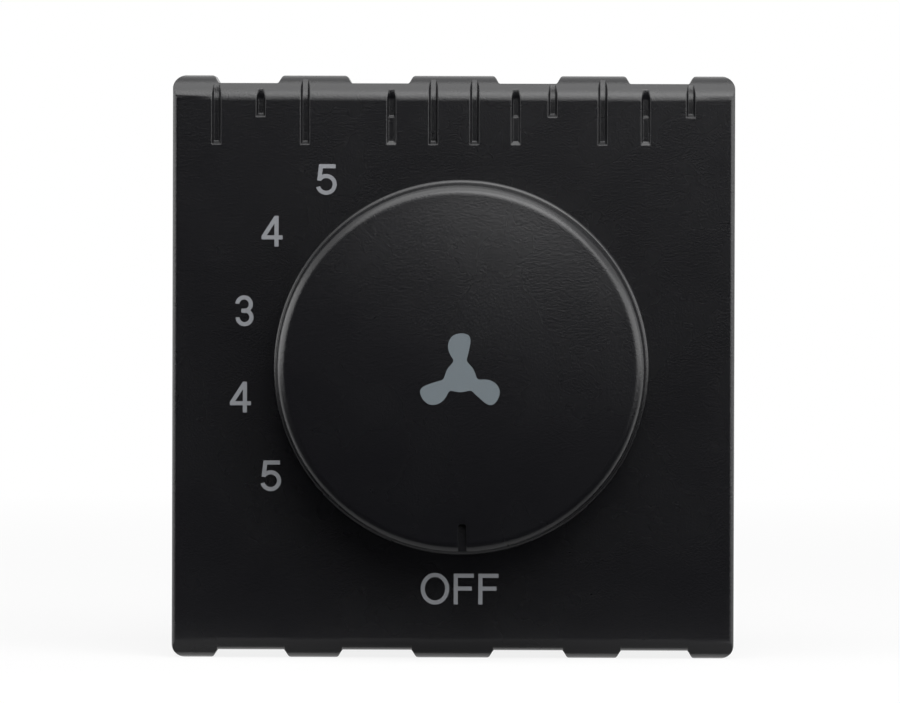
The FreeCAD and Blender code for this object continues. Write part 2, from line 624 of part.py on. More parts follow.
def detent_pocket():
    """The room for the detent leaf in the switch cover, with shoulders that hold its two ends."""
    y0, y1 = CAVITY_FRONT_Y, WHEEL_BACK_Y
    outer = detent_centre() + DETENT_FIT
    half = DETENT_LENGTH / 2 + DETENT_FIT
    seat = block(KNOB_OFFSET - half, KNOB_OFFSET + half, y0, y1, -outer, 0)
    flex = half - DETENT_SHOULDER
    room = block(KNOB_OFFSET - flex, KNOB_OFFSET + flex, y0, y1, -outer - DETENT_TRAVEL, 0)
    return dial_turn(seat.fuse(room), DETENT_ANGLE)


def rivet_holes(y0, y1, head_y0, head_y1):
    """Holes for the two switch rivets with a counterbore for their heads."""
    holes = []
    for x, z in RIVET_PLACES:
        holes.append(rod_y(KNOB_OFFSET + x, z, RIVET_RADIUS + PIN_FIT, y0, y1))
        holes.append(rod_y(KNOB_OFFSET + x, z, RIVET_HEAD_RADIUS + PIN_FIT, head_y0, head_y1))
    return holes


def switch_cover():
    """The switch's front half: a cup with the neck that carries the rotor's journal."""
    cup = rounded_block(KNOB_OFFSET, 0, SWITCH_HALF, SWITCH_HALF, SWITCH_ROUND,
                        SWITCH_FRONT_Y, BASE_FRONT_Y)
    neck = rod_y(KNOB_OFFSET, 0, NECK_RADIUS, NECK_FRONT_Y, SWITCH_FRONT_Y)
    cuts = [rod_y(KNOB_OFFSET, 0, JOURNAL_RADIUS + RUNNING_FIT, NECK_FRONT_Y, CAVITY_FRONT_Y),
            rod_y(KNOB_OFFSET, 0, CAVITY_RADIUS, CAVITY_FRONT_Y, BASE_FRONT_Y),
            detent_pocket()]
    head_y = SWITCH_FRONT_Y + RIVET_HEAD + PIN_FIT
    return cup.fuse(neck).cut(cuts + rivet_holes(SWITCH_FRONT_Y, BASE_FRONT_Y, SWITCH_FRONT_Y, head_y))


def switch_base():
    """The switch's back plate: contact holes, the pivot's bearing and two posts that stop the lug."""
    plate = rounded_block(KNOB_OFFSET, 0, SWITCH_HALF, SWITCH_HALF, SWITCH_ROUND,
                          BASE_FRONT_Y, BOARD_FRONT_Y)
    offset = LUG_HALF_ANGLE + STOP_GAP_ANGLE + STOP_HALF_ANGLE
    for angle in (LUG_ANGLE - offset, LUG_ANGLE + LAST_POSITION + offset):
        plate = plate.fuse(dial_segment(LUG_INNER_RADIUS, LUG_OUTER_RADIUS, angle, STOP_HALF_ANGLE,
                                        BASE_FRONT_Y - STOP_HEIGHT, BASE_FRONT_Y))
    cuts = [rod_y(KNOB_OFFSET, 0, PIVOT_RADIUS + RUNNING_FIT, BASE_FRONT_Y, BOARD_FRONT_Y)]
    cuts += tail_holes(BASE_FRONT_Y, BOARD_FRONT_Y)
    head_y = BOARD_FRONT_Y - RIVET_HEAD - PIN_FIT
    return plate.cut(cuts + rivet_holes(BASE_FRONT_Y, BOARD_FRONT_Y, head_y, BOARD_FRONT_Y))


def switch_rivets():
    """The two rivets that close the switch."""
    rivets = []
    for x, z in RIVET_PLACES:
        x = KNOB_OFFSET + x
        shank = rod_y(x, z, RIVET_RADIUS, SWITCH_FRONT_Y, BOARD_FRONT_Y)
        heads = [rod_y(x, z, RIVET_HEAD_RADIUS, SWITCH_FRONT_Y, SWITCH_FRONT_Y + RIVET_HEAD),
                 rod_y(x, z, RIVET_HEAD_RADIUS, BOARD_FRONT_Y - RIVET_HEAD, BOARD_FRONT_Y)]
        rivets.append(shank.multiFuse(heads).removeSplitter())
    return Part.makeCompound(rivets)


def tail_places():
    """Where the solder tails of the contacts go through the base and the board."""
    tails = [on_dial(position, CONTACT_RING_RADIUS, 0) for position in POSITIONS[1:]]
    return tails + [on_dial(COMMON_PIN_ANGLE, COMMON_RADIUS, 0)]


def tail_holes(y0, y1):
    """Holes for all the solder tails."""
    return [rod_y(p.x, p.z, TAIL_RADIUS + PIN_FIT, y0, y1) for p in tail_places()]


def fixed_contacts():
    """One riveted contact for each speed."""
    contacts = []
    for place in tail_places()[:-1]:
        head = rod_y(place.x, place.z, CONTACT_HEAD_RADIUS, CONTACT_FRONT_Y, BASE_FRONT_Y)
        contacts.append(head.fuse(rod_y(place.x, place.z, TAIL_RADIUS, BASE_FRONT_Y, TAIL_END_Y)))
    return Part.makeCompound(contacts)


def common_contact():
    """The ring that the wiper always touches, with its solder tail."""
    ring = rod_y(KNOB_OFFSET, 0, COMMON_RADIUS + COMMON_WIDTH / 2, CONTACT_FRONT_Y, BASE_FRONT_Y)
    ring = ring.cut(rod_y(KNOB_OFFSET, 0, COMMON_RADIUS - COMMON_WIDTH / 2, CONTACT_FRONT_Y, BASE_FRONT_Y))
    place = tail_places()[-1]
    return ring.fuse(rod_y(place.x, place.z, TAIL_RADIUS, BASE_FRONT_Y, TAIL_END_Y))


# Circuit board and its parts

def resistor_lead_places(x, length):
    """Where the two leads of a resistor lying along the height go into the board."""
    reach = length / 2 + RESISTOR_LEAD
    return [(x, RESISTOR_Z - reach), (x, RESISTOR_Z + reach)]


def cap_lead_places(z):
    """Where the two leads of a capacitor go into the board."""
    return [(-CAP_LEAD_PITCH / 2, z), (CAP_LEAD_PITCH / 2, z)]


def circuit_board():
    """The board, clamped between the cover's bosses and the housing's posts."""
    board = block(-INNER_X + BOARD_GAP, INNER_X - BOARD_GAP, BOARD_FRONT_Y, BOARD_BACK_Y,
                  -INNER_Z + BOARD_GAP, INNER_Z - BOARD_GAP)
    holes = [rod_y(x, z, SCREW_RADIUS + SCREW_HOLE_GAP, BOARD_FRONT_Y, BOARD_BACK_Y)
             for x, z in POST_PLACES]
    holes += tail_holes(BOARD_FRONT_Y, BOARD_BACK_Y)
    leads = cap_lead_places(SMALL_CAP_Z) + cap_lead_places(LARGE_CAP_Z)
    leads += resistor_lead_places(SURGE_X, SURGE_LENGTH)
    for x in BLEED_PLACES_X:
        leads += resistor_lead_places(x, BLEED_LENGTH)
    holes += [rod_y(x, z, LEAD_RADIUS + PIN_FIT, BOARD_FRONT_Y, BOARD_BACK_Y) for x, z in leads]
    for x in POLES_X:
        half = TONGUE_TAB / 2 + PIN_FIT
        holes.append(block(x - half, x + half, BOARD_FRONT_Y, BOARD_BACK_Y,
                           TONGUE_BOTTOM_Z - PIN_FIT, TONGUE_TOP_Z + PIN_FIT))
    return board.cut(holes)


def capacitor(z, thickness, depth):
    """A boxed film capacitor standing on its leads."""
    case = block(-CAP_LENGTH / 2, CAP_LENGTH / 2, CAP_FRONT_Y, CAP_FRONT_Y + depth,
                 z - thickness / 2, z + thickness / 2)
    case = case.makeFillet(CAP_EDGE_ROUND, [e for e in case.Edges if e.CenterOfMass.y > CAP_FRONT_Y + PAST])
    leads = [rod_y(x, lead_z, LEAD_RADIUS, BOARD_FRONT_Y, CAP_FRONT_Y) for x, lead_z in cap_lead_places(z)]
    return case.multiFuse(leads)


def resistor(x, radius, length):
    """An axial resistor with end caps and bent leads, lying along the height."""
    y = BOARD_BACK_Y + RESISTOR_STANDOFF + radius
    neck = radius * RESISTOR_NECK
    body = rod_z(x, y, neck, RESISTOR_Z - length / 2, RESISTOR_Z + length / 2)
    pieces = []
    for side, (lead_x, lead_z) in zip((-1, 1), resistor_lead_places(x, length)):
        end = RESISTOR_Z + side * length / 2
        z0, z1 = sorted((end, end - side * RESISTOR_CAP))
        pieces.append(rod_z(x, y, radius, z0, z1))
        z0, z1 = sorted((end, lead_z))
        pieces.append(rod_z(x, y, LEAD_RADIUS, z0, z1))
        pieces.append(rod_y(lead_x, lead_z, LEAD_RADIUS, BOARD_FRONT_Y, y))
        pieces.append(Part.makeSphere(LEAD_RADIUS, V(lead_x, y, lead_z)))
    return body.multiFuse(pieces).removeSplitter()


def bleed_resistors():
    """The two small resistors that drain the capacitors."""
    return Part.makeCompound([resistor(x, BLEED_RADIUS, BLEED_LENGTH) for x in BLEED_PLACES_X])


# Terminals

def terminal_block():
    """The two-pole block: cage chambers open to the board, round wire entries and screw pockets."""
    body = block(-BLOCK_X, BLOCK_X, BOARD_BACK_Y, BACK_Y, BLOCK_BOTTOM_Z, BLOCK_TOP_Z)
    cuts = []
    half = CAGE_WIDTH / 2 + CAGE_GAP
    for x in POLES_X:
        cuts.append(block(x - half, x + half, BOARD_BACK_Y, CHAMBER_BACK_Y,
                          CHAMBER_BOTTOM_Z, CHAMBER_TOP_Z))
        cuts.append(rod_y(x, WIRE_Z, WIRE_BORE_RADIUS, CHAMBER_BACK_Y, BACK_Y))
        cuts.append(Part.makeCone(WIRE_BORE_RADIUS, WIRE_BORE_RADIUS + WIRE_FUNNEL, WIRE_FUNNEL,
                                  V(x, BACK_Y - WIRE_FUNNEL, WIRE_Z), V(0, 1, 0)))
        cuts.append(rod_z(x, TERMINAL_SCREW_Y, TERMINAL_HEAD_RADIUS + TERMINAL_HEAD_GAP,
                          BLOCK_BOTTOM_Z, SHOULDER_BOTTOM_Z))
        cuts.append(rod_z(x, TERMINAL_SCREW_Y, TERMINAL_SHANK_RADIUS + RUNNING_FIT,
                          SHOULDER_BOTTOM_Z, CHAMBER_BOTTOM_Z))
    return body.cut(cuts)


def terminal_screw(x):
    """A slotted terminal screw; its tip bears on the tongue and its thread draws the cage down."""
    head = rod_z(x, TERMINAL_SCREW_Y, TERMINAL_HEAD_RADIUS, TERMINAL_HEAD_BOTTOM_Z, TERMINAL_HEAD_TOP_Z)
    shank = rod_z(x, TERMINAL_SCREW_Y, TERMINAL_SHANK_RADIUS, TERMINAL_HEAD_TOP_Z,
                  TONGUE_BOTTOM_Z - TERMINAL_END_GAP)
    slot = block(x - TERMINAL_HEAD_RADIUS, x + TERMINAL_HEAD_RADIUS, TERMINAL_SCREW_Y - TERMINAL_SLOT / 2,
                 TERMINAL_SCREW_Y + TERMINAL_SLOT / 2, TERMINAL_HEAD_BOTTOM_Z,
                 TERMINAL_HEAD_BOTTOM_Z + TERMINAL_SLOT_DEPTH)
    return head.fuse(shank).cut(slot)


def terminal_cage(x):
    """A rising cage: a square ring with the screw's thread in its floor and the jaw across its top."""
    half = CAGE_WIDTH / 2
    ring = block(x - half, x + half, CAGE_FRONT_Y, CAGE_BACK_Y, CAGE_BOTTOM_Z, CAGE_TOP_Z)
    window = block(x - half + CAGE_SIDE, x + half - CAGE_SIDE, CAGE_FRONT_Y, CAGE_BACK_Y,
                   CAGE_FLOOR_Z, JAW_Z)
    thread = rod_z(x, TERMINAL_SCREW_Y, TERMINAL_SHANK_RADIUS + RUNNING_FIT, CAGE_BOTTOM_Z, CAGE_FLOOR_Z)
    return ring.cut([window, thread])


def terminal_pins():
    """The two tongues that carry the current from the board into the cages."""
    pins = []
    for x in POLES_X:
        tongue = block(x - TONGUE_WIDTH / 2, x + TONGUE_WIDTH / 2, BOARD_BACK_Y, CAGE_BACK_Y,
                       TONGUE_BOTTOM_Z, TONGUE_TOP_Z)
        tab = block(x - TONGUE_TAB / 2, x + TONGUE_TAB / 2, BOARD_FRONT_Y, BOARD_BACK_Y,
                    TONGUE_BOTTOM_Z, TONGUE_TOP_Z)
        pins.append(tongue.fuse(tab).removeSplitter())
    return Part.makeCompound(pins)


# Rear housing and its screws

def catch(x, up):
    """A ramped catch that snaps behind the support frame."""
    y0 = FRAME_THICKNESS + CATCH_GAP
    root = HOUSING_Z - HOUSING_WALL / 2
    crest = HOUSING_Z + CATCH_RISE
    outline = [(y0, root), (y0, crest), (y0 + CATCH_RISE, crest), (y0 + CATCH_LENGTH, HOUSING_Z),
               (y0 + CATCH_LENGTH, root)]
    return prism([V(x - CATCH_WIDTH / 2, y, up * z) for y, z in outline], V(CATCH_WIDTH, 0, 0))


def vent_tools():
    """The cooling slots: a row of upright slots in the back and a stack along each side."""
    tools = []
    half = VENT_WIDTH / 2
    for k in range(BACK_VENTS):
        x = (k - (BACK_VENTS - 1) / 2) * BACK_VENT_PITCH
        low, high = BACK_VENT_LOW + half, BACK_VENT_LOW + BACK_VENT_LENGTH - half
        tools.append(block(x - half, x + half, BACK_INNER_Y - PAST, BACK_Y + PAST, low, high))
        tools += [rod_y(x, z, half, BACK_INNER_Y - PAST, BACK_Y + PAST) for z in (low, high)]
    front_y = BOARD_BACK_Y + SIDE_VENT_BEHIND_BOARD
    for k in range(SIDE_VENTS):
        z = (k - (SIDE_VENTS - 1) / 2) * SIDE_VENT_PITCH
        for x0, x1 in ((-HOUSING_X - PAST, -INNER_X + PAST), (INNER_X - PAST, HOUSING_X + PAST)):
            tools.append(block(x0, x1, front_y, front_y + SIDE_VENT_LENGTH, z - half, z + half))
    return tools


def rear_housing():
    """The moulded box behind the frame: corner posts, catches, vents and the window for the terminals."""
    shell = rounded_block(0, 0, HOUSING_X, HOUSING_Z, HOUSING_ROUND, -HOUSING_LAP, BACK_Y)
    shell = shell.cut(block(-INNER_X, INNER_X, -HOUSING_LAP, BACK_INNER_Y, -INNER_Z, INNER_Z))
    posts = [rod_y(x, z, POST_RADIUS, BOARD_BACK_Y, BACK_INNER_Y) for x, z in POST_PLACES]
    outline = rounded_block(0, 0, HOUSING_X, HOUSING_Z, HOUSING_ROUND, -HOUSING_LAP, BACK_Y)
    posts = [post.common(outline) for post in posts]
    catches = [catch(side * CATCH_AT, up) for side in (-1, 1) for up in (-1, 1)]
    shell = shell.multiFuse(posts + catches)
    cuts = vent_tools()
    for x, z in POST_PLACES:
        cuts.append(rod_y(x, z, SCREW_RADIUS + SCREW_HOLE_GAP, BOARD_BACK_Y, SCREW_SEAT_Y))
        cuts.append(rod_y(x, z, SCREW_HEAD_RADIUS + SCREW_HEAD_GAP, SCREW_SEAT_Y, BACK_Y))
    window_x = BLOCK_X + BLOCK_GAP
    cuts.append(block(-window_x, window_x, BOARD_BACK_Y - BLOCK_GAP, BACK_Y + PAST,
                      -HOUSING_Z - PAST, BLOCK_TOP_Z + BLOCK_GAP))
    return shell.cut(cuts)


def housing_screws():
    """Four thread-forming screws with cross recesses."""
    screws = []
    head_y = SCREW_SEAT_Y + SCREW_HEAD
    for x, z in POST_PLACES:
        head = rod_y(x, z, SCREW_HEAD_RADIUS, SCREW_SEAT_Y, head_y)
        shank = rod_y(x, z, SCREW_RADIUS, SCREW_SEAT_Y - SCREW_LENGTH, SCREW_SEAT_Y)
        long, short = SCREW_CROSS / 2, SCREW_CROSS_WIDTH / 2
        recess = [block(x - a, x + a, head_y - SCREW_CROSS_DEPTH, head_y, z - b, z + b)
                  for a, b in ((long, short), (short, long))]
        screws.append(head.fuse(shank).cut(recess))
    return Part.makeCompound(screws)


NODES = {
    "front_cover": front_cover(),
    "rear_housing": rear_housing(),
    "housing_screws": housing_screws(),
    "circuit_board": circuit_board(),
    "capacitor_large": capacitor(LARGE_CAP_Z, LARGE_CAP_THICKNESS, LARGE_CAP_DEPTH),
    "capacitor_small": capacitor(SMALL_CAP_Z, SMALL_CAP_THICKNESS, SMALL_CAP_DEPTH),
    "surge_resistor": resistor(SURGE_X, SURGE_RADIUS, SURGE_LENGTH),
    "bleed_resistors": bleed_resistors(),
    "terminal_block": terminal_block(),
    "terminal_pins": terminal_pins(),
    "terminal_screw_1": terminal_screw(POLES_X[0]),
    "terminal_screw_2": terminal_screw(POLES_X[1]),
    "terminal_cage_1": terminal_cage(POLES_X[0]),
    "terminal_cage_2": terminal_cage(POLES_X[1]),
    "switch_base": switch_base(),
    "switch_cover": switch_cover(),
    "switch_rivets": switch_rivets(),
    "fixed_contacts": fixed_contacts(),
    "common_contact": common_contact(),
    "detent_spring": detent_spring(),
    "knob": knob(),
    "knob_spring": knob_spring(),
    "rotor": rotor(),
    "wiper_contact": wiper_contact(),
}

os.makedirs("parts", exist_ok=True)
for name, shape in NODES.items():
    shape.exportStep("parts/" + name + ".step")
    print(name, len(shape.Solids), "solids", round(shape.Volume, 2), "mm3", shape.isValid())
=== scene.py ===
"""Looks of the fan speed control switch: a black two-module wall regulator with a round knob."""

import logging
import math
from contextlib import contextmanager
from dataclasses import dataclass, field
from enum import Enum
from typing import Callable, Iterator, Sequence

import bmesh
import bpy
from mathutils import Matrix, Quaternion, Vector


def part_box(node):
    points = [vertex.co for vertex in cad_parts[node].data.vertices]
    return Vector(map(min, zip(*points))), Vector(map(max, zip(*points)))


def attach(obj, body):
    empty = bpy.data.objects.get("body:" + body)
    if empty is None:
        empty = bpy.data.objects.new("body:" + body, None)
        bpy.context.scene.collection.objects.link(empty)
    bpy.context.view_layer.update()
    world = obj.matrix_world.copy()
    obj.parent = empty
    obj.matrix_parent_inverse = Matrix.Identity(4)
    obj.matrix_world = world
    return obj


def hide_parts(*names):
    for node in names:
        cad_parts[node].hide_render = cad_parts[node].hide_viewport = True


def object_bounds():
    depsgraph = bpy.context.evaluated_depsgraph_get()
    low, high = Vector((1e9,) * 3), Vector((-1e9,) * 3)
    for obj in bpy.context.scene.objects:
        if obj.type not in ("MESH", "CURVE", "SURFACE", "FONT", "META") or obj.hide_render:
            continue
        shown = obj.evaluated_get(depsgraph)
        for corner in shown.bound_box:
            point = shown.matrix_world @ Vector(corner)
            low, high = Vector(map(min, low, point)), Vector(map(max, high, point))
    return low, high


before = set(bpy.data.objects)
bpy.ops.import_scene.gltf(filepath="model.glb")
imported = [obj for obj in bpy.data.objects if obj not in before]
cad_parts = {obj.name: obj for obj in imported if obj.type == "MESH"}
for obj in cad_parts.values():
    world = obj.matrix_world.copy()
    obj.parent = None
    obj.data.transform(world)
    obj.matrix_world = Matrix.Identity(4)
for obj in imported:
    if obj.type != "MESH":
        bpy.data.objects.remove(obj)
CAD_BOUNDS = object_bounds()

LOG = logging.getLogger("fan_switch")
MM = 0.001
NEAR = 0.001 * MM

Piece = bpy.types.Object
Point = Sequence[float]
Test = Callable[[Vector], bool]
Tree = bpy.types.NodeTree
Node = bpy.types.Node
Socket = bpy.types.NodeSocket


class Operation(Enum):
    """How a second mesh acts on the first."""

    JOIN = "UNION"
    CUT = "DIFFERENCE"
    KEEP_COMMON = "INTERSECT"


class Element(Enum):
    """What is picked in edit mode."""

    CORNER = "VERT"
    EDGE = "EDGE"
    FACE = "FACE"


class Body(Enum):
    """The moving bodies of the frame that new pieces ride on."""

    HOUSING = "housing"
    KNOB = "knob_group"
    LEFT_SCREW = "terminal_screw_left"
    RIGHT_SCREW = "terminal_screw_right"


# Modelling by operators

def make_active(piece: Piece) -> None:
    """Select one piece alone and make it the active one."""
    bpy.ops.object.select_all(action="DESELECT")
    piece.select_set(True)
    bpy.context.view_layer.objects.active = piece


@contextmanager
def editing(piece: Piece, element: Element) -> Iterator[None]:
    """Enter edit mode on one piece with nothing selected, and leave it afterwards.

    Args:
        piece: The piece to edit.
        element: What is to be selected in it.
    """
    make_active(piece)
    bpy.ops.object.mode_set(mode="EDIT")
    bpy.ops.mesh.select_mode(type=element.value)
    bpy.ops.mesh.select_all(action="DESELECT")
    yield
    bpy.ops.object.mode_set(mode="OBJECT")


def pick(piece: Piece, element: Element, test: Test) -> None:
    """Select the corners, edges or faces all of whose corners pass a test.

    Args:
        piece: The piece in edit mode.
        element: What to select.
        test: Says of a corner's place whether it belongs.
    """
    bpy.ops.mesh.select_all(action="DESELECT")
    mesh = bmesh.from_edit_mesh(piece.data)
    if element is Element.CORNER:
        for corner in mesh.verts:
            corner.select_set(test(corner.co))
    else:
        for item in mesh.edges if element is Element.EDGE else mesh.faces:
            item.select_set(all(test(corner.co) for corner in item.verts))
    bmesh.update_edit_mesh(piece.data)


def name_piece(name: str) -> Piece:
    """Name the object that an operator has just added, and return it."""
    piece = bpy.context.object
    piece.name = name
    piece.data.name = name
    return piece


def fixed_piece(name: str) -> Piece:
    """Name the mesh that an operator has just added, put its place into its mesh, and return it."""
    piece = name_piece(name)
    bpy.ops.object.transform_apply(location=True, rotation=True, scale=True)
    return piece


def turn_mesh(piece: Piece, angle: float, centre: Point) -> None:
    """Turn a whole mesh about an axis along the depth.

    Args:
        piece: The piece to turn.
        angle: How far, in radians, anticlockwise seen from the front.
        centre: A point of the axis.
    """
    with editing(piece, Element.CORNER):
        bpy.ops.mesh.select_all(action="SELECT")
        bpy.ops.transform.rotate(value=angle, orient_axis="Y", center_override=centre)


def draw_line(name: str, points: Sequence[Vector]) -> Piece:
    """Draw a chain of edges.

    Args:
        name: The piece's name.
        points: The chain's corners in order.

    Returns:
        The chain, without faces.
    """
    bpy.ops.object.select_all(action="DESELECT")
    bpy.ops.mesh.primitive_plane_add(size=MM, location=points[0])
    piece = fixed_piece(name)
    with editing(piece, Element.CORNER):
        bpy.ops.mesh.select_all(action="SELECT")
        bpy.ops.mesh.merge(type="CENTER")
        for here, there in zip(points, points[1:]):
            bpy.ops.mesh.extrude_vertices_move(TRANSFORM_OT_translate={"value": there - here})
    return piece


def add_block(name: str, low: Point, high: Point) -> Piece:
    """Add a block between two corners.

    Args:
        name: The piece's name.
        low: Its lowest corner.
        high: Its highest corner.

    Returns:
        The block, with its place in its mesh.
    """
    low, high = Vector(low), Vector(high)
    bpy.ops.object.select_all(action="DESELECT")
    bpy.ops.mesh.primitive_cube_add(size=1.0, location=(low + high) / 2)
    piece = name_piece(name)
    piece.scale = high - low
    bpy.ops.object.transform_apply(location=True, rotation=True, scale=True)
    return piece


def add_rod(name: str, centre: Point, radius: float, end_radius: float, length: float, sides: int) -> Piece:
    """Add a straight or tapered rod along the depth.

    Args:
        name: The piece's name.
        centre: The middle of its front end.
        radius: Its radius at the front end.
        end_radius: Its radius at the rear end.
        length: How far it runs into the depth.
        sides: How many sides it has.

    Returns:
        The rod, with a flat side and not a corner at its left and right.
    """
    centre = Vector(centre)
    bpy.ops.object.select_all(action="DESELECT")
    bpy.ops.mesh.primitive_cone_add(
        vertices=sides, radius1=radius, radius2=end_radius, depth=length,
        location=centre + Vector((0, length / 2, 0)), rotation=(-math.pi / 2, 0, 0))
    piece = fixed_piece(name)
    turn_mesh(piece, math.pi / sides, centre)
    return piece


def bevel_edges(piece: Piece, radius: float, segments: int, test: Test) -> None:
    """Round the edges whose ends pass a test.

    Args:
        piece: The piece to round.
        radius: The round's radius.
        segments: How many facets the round has.
        test: Says of an end's place whether the edge belongs.
    """
    with editing(piece, Element.EDGE):
        pick(piece, Element.EDGE, test)
        bpy.ops.mesh.bevel(offset=radius, segments=segments, profile=0.5, affect="EDGES", clamp_overlap=False)


def shift_corners(piece: Piece, move: Point, test: Test = lambda place: True) -> None:
    """Move the corners that pass a test, or all of them.

    Args:
        piece: The piece to change.
        move: How far they go.
        test: Says of a corner's place whether it belongs.
    """
    with editing(piece, Element.CORNER):
        pick(piece, Element.CORNER, test)
        bpy.ops.transform.translate(value=move)


def turned(name: str, profile: Sequence[tuple[float, float]], axis_x: float, steps: int) -> Piece:
    """Turn a half section about an axis along the depth.

    Args:
        name: The piece's name.
        profile: Radius and depth of each point, from one end of the section to the other.
        axis_x: Where the axis stands across the width.
        steps: How many steps make the full turn.

    Returns:
        The turned piece, closed at its seam and poles.
    """
    piece = draw_line(name, [Vector((axis_x + radius, depth, 0)) for radius, depth in profile])
    with editing(piece, Element.CORNER):
        bpy.ops.mesh.select_all(action="SELECT")
        bpy.ops.mesh.spin(steps=steps, angle=2 * math.pi, center=(axis_x, 0, 0), axis=(0, 1, 0))
        bpy.ops.mesh.select_all(action="SELECT")
        bpy.ops.mesh.remove_doubles(threshold=NEAR)
        bpy.ops.mesh.normals_make_consistent(inside=False)
    return piece


def swept(name: str, outline: Sequence[Vector], sweep: Vector) -> Piece:
    """Draw a closed outline, fill it and sweep it along a straight line.

    Args:
        name: The piece's name.
        outline: The outline's corners in order.
        sweep: How far and which way it is swept.

    Returns:
        The closed solid.
    """
    piece = draw_line(name, [*outline, outline[0]])
    with editing(piece, Element.CORNER):
        bpy.ops.mesh.select_all(action="SELECT")
        bpy.ops.mesh.remove_doubles(threshold=NEAR)
        bpy.ops.mesh.edge_face_add()
        bpy.ops.mesh.extrude_region_move(TRANSFORM_OT_translate={"value": sweep})
        bpy.ops.mesh.select_all(action="SELECT")
        bpy.ops.mesh.normals_make_consistent(inside=False)
    return piece


def arc(centre: tuple[float, float], radius: float, start: float, end: float, steps: int) -> list:
    """Return the points of an arc in a half section.

    Args:
        centre: Radius and depth of the arc's middle.
        radius: The arc's own radius.
        start: Where it starts, in degrees from outwards towards the front.
        end: Where it ends.
        steps: How many chords it has.

    Returns:
        Radius and depth of each point.
    """
    points = []
    for step in range(steps + 1):
        angle = math.radians(start + (end - start) * step / steps)
        points.append((centre[0] + radius * math.cos(angle), centre[1] - radius * math.sin(angle)))
    return points


def join(pieces: Sequence[Piece]) -> Piece:
    """Join several pieces into the first one's mesh and return it."""
    make_active(pieces[0])
    for piece in pieces:
        piece.select_set(True)
    bpy.ops.object.join()
    return pieces[0]


def combine(piece: Piece, tool: Piece, operation: Operation) -> None:
    """Unite a piece with a tool, cut it by the tool or keep what both share.

    Args:
        piece: The piece that stays.
        tool: The mesh that acts on it and is then deleted.
        operation: What is done.
    """
    modifier = piece.modifiers.new(operation.name, "BOOLEAN")
    modifier.operation = operation.value
    modifier.object = tool
    modifier.solver = "EXACT"
    make_active(piece)
    bpy.ops.object.modifier_apply(modifier=modifier.name)
    bpy.data.objects.remove(tool, do_unlink=True)


def soften(piece: Piece, width: float, angle: float) -> None:
    """Break the sharp edges of a finished form and shade it smooth.

    Args:
        piece: The piece to finish.
        width: How wide the broken edge is.
        angle: From which angle an edge counts as sharp, in degrees.
    """
    make_active(piece)
    modifier = piece.modifiers.new("broken_edges", "BEVEL")
    modifier.width = width
    modifier.segments = 2
    modifier.limit_method = "ANGLE"
    modifier.angle_limit = math.radians(angle)
    modifier.use_clamp_overlap = False
    bpy.ops.object.modifier_apply(modifier=modifier.name)
    shade(piece, angle)


def shade(piece: Piece, angle: float) -> None:
    """Shade a piece smooth up to an angle, with flat faces kept flat.

    Args:
        piece: The piece to shade.
        angle: Above which angle an edge stays sharp, in degrees.
    """
    make_active(piece)
    bpy.ops.object.shade_smooth_by_angle(angle=math.radians(angle))
    modifier = piece.modifiers.new("flat_faces", "WEIGHTED_NORMAL")
    modifier.keep_sharp = True
    bpy.ops.object.modifier_apply(modifier=modifier.name)


def refined_copy(node: str, name: str, edge: float) -> Piece:
    """Copy a solid of the frame, weld it and break its edges.

    Args:
        node: The frame's node.
        name: The copy's name.
        edge: How wide the broken edges are.

    Returns:
        The copy.
    """
    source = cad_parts[node]
    piece = bpy.data.objects.new(name, source.data.copy())
    piece.data.name = name
    bpy.context.scene.collection.objects.link(piece)
    with editing(piece, Element.CORNER):
        bpy.ops.mesh.select_all(action="SELECT")
        bpy.ops.mesh.remove_doubles(threshold=NEAR)
        bpy.ops.mesh.dissolve_limited(angle_limit=math.radians(0.5))
    soften(piece, edge, angle=40)
    return piece


# Finishes

def linear(colour: str) -> tuple[float, float, float, float]:
    """Turn an sRGB hex colour into linear values with full opacity."""
    channels = [int(colour[k:k + 2], 16) / 255 for k in (1, 3, 5)]
    return (*(c / 12.92 if c <= 0.04045 else ((c + 0.055) / 1.055) ** 2.4 for c in channels), 1.0)


def add_node(tree: Tree, kind: str, attributes: dict | None = None,
             values: dict | None = None, links: dict | None = None) -> Node:
    """Add a node with its settings and links.

    Args:
        tree: The tree that it goes into.
        kind: The node's type.
        attributes: Settings of the node itself, by name.
        values: Constants for its inputs, by name or number.
        links: Outputs that feed its inputs, by name or number.

    Returns:
        The new node.
    """
    node = tree.nodes.new(kind)
    for name, value in (attributes or {}).items():
        setattr(node, name, value)
    for name, value in (values or {}).items():
        node.inputs[name].default_value = value
    for name, output in (links or {}).items():
        tree.links.new(output, node.inputs[name])
    return node


@dataclass(frozen=True)
class Finish:
    """A surface: its name, its colour and how it takes the light."""

    name: str
    colour: str
    roughness: float
    ior: float = 1.5
    metallic: float = 0.0
    specular: float = 0.5

    def material(self) -> bpy.types.Material:
        """Return the finish's material, made on its first use."""
        if self.name in bpy.data.materials:
            return bpy.data.materials[self.name]
        material = bpy.data.materials.new(self.name)
        material.use_nodes = True
        material.diffuse_color = linear(self.colour)
        tree = material.node_tree
        shader = tree.nodes["Principled BSDF"]
        for name, value in (("Base Color", linear(self.colour)), ("Roughness", self.roughness),
                            ("IOR", self.ior), ("Metallic", self.metallic),
                            ("Specular IOR Level", self.specular)):
            shader.inputs[name].default_value = value
        self.texture(tree, shader, add_node(tree, "ShaderNodeTexCoord").outputs["Object"])
        return material

    def texture(self, tree: Tree, shader: Node, place: Socket) -> None:
        """Leave the surface plain; finishes with a pattern put it here.

        Args:
            tree: The material's node tree.
            shader: Its main shader.
            place: The object coordinates.
        """

    def dress(self, piece: Piece) -> None:
        """Give a piece this finish all over."""
        piece.data.materials.clear()
        piece.data.materials.append(self.material())


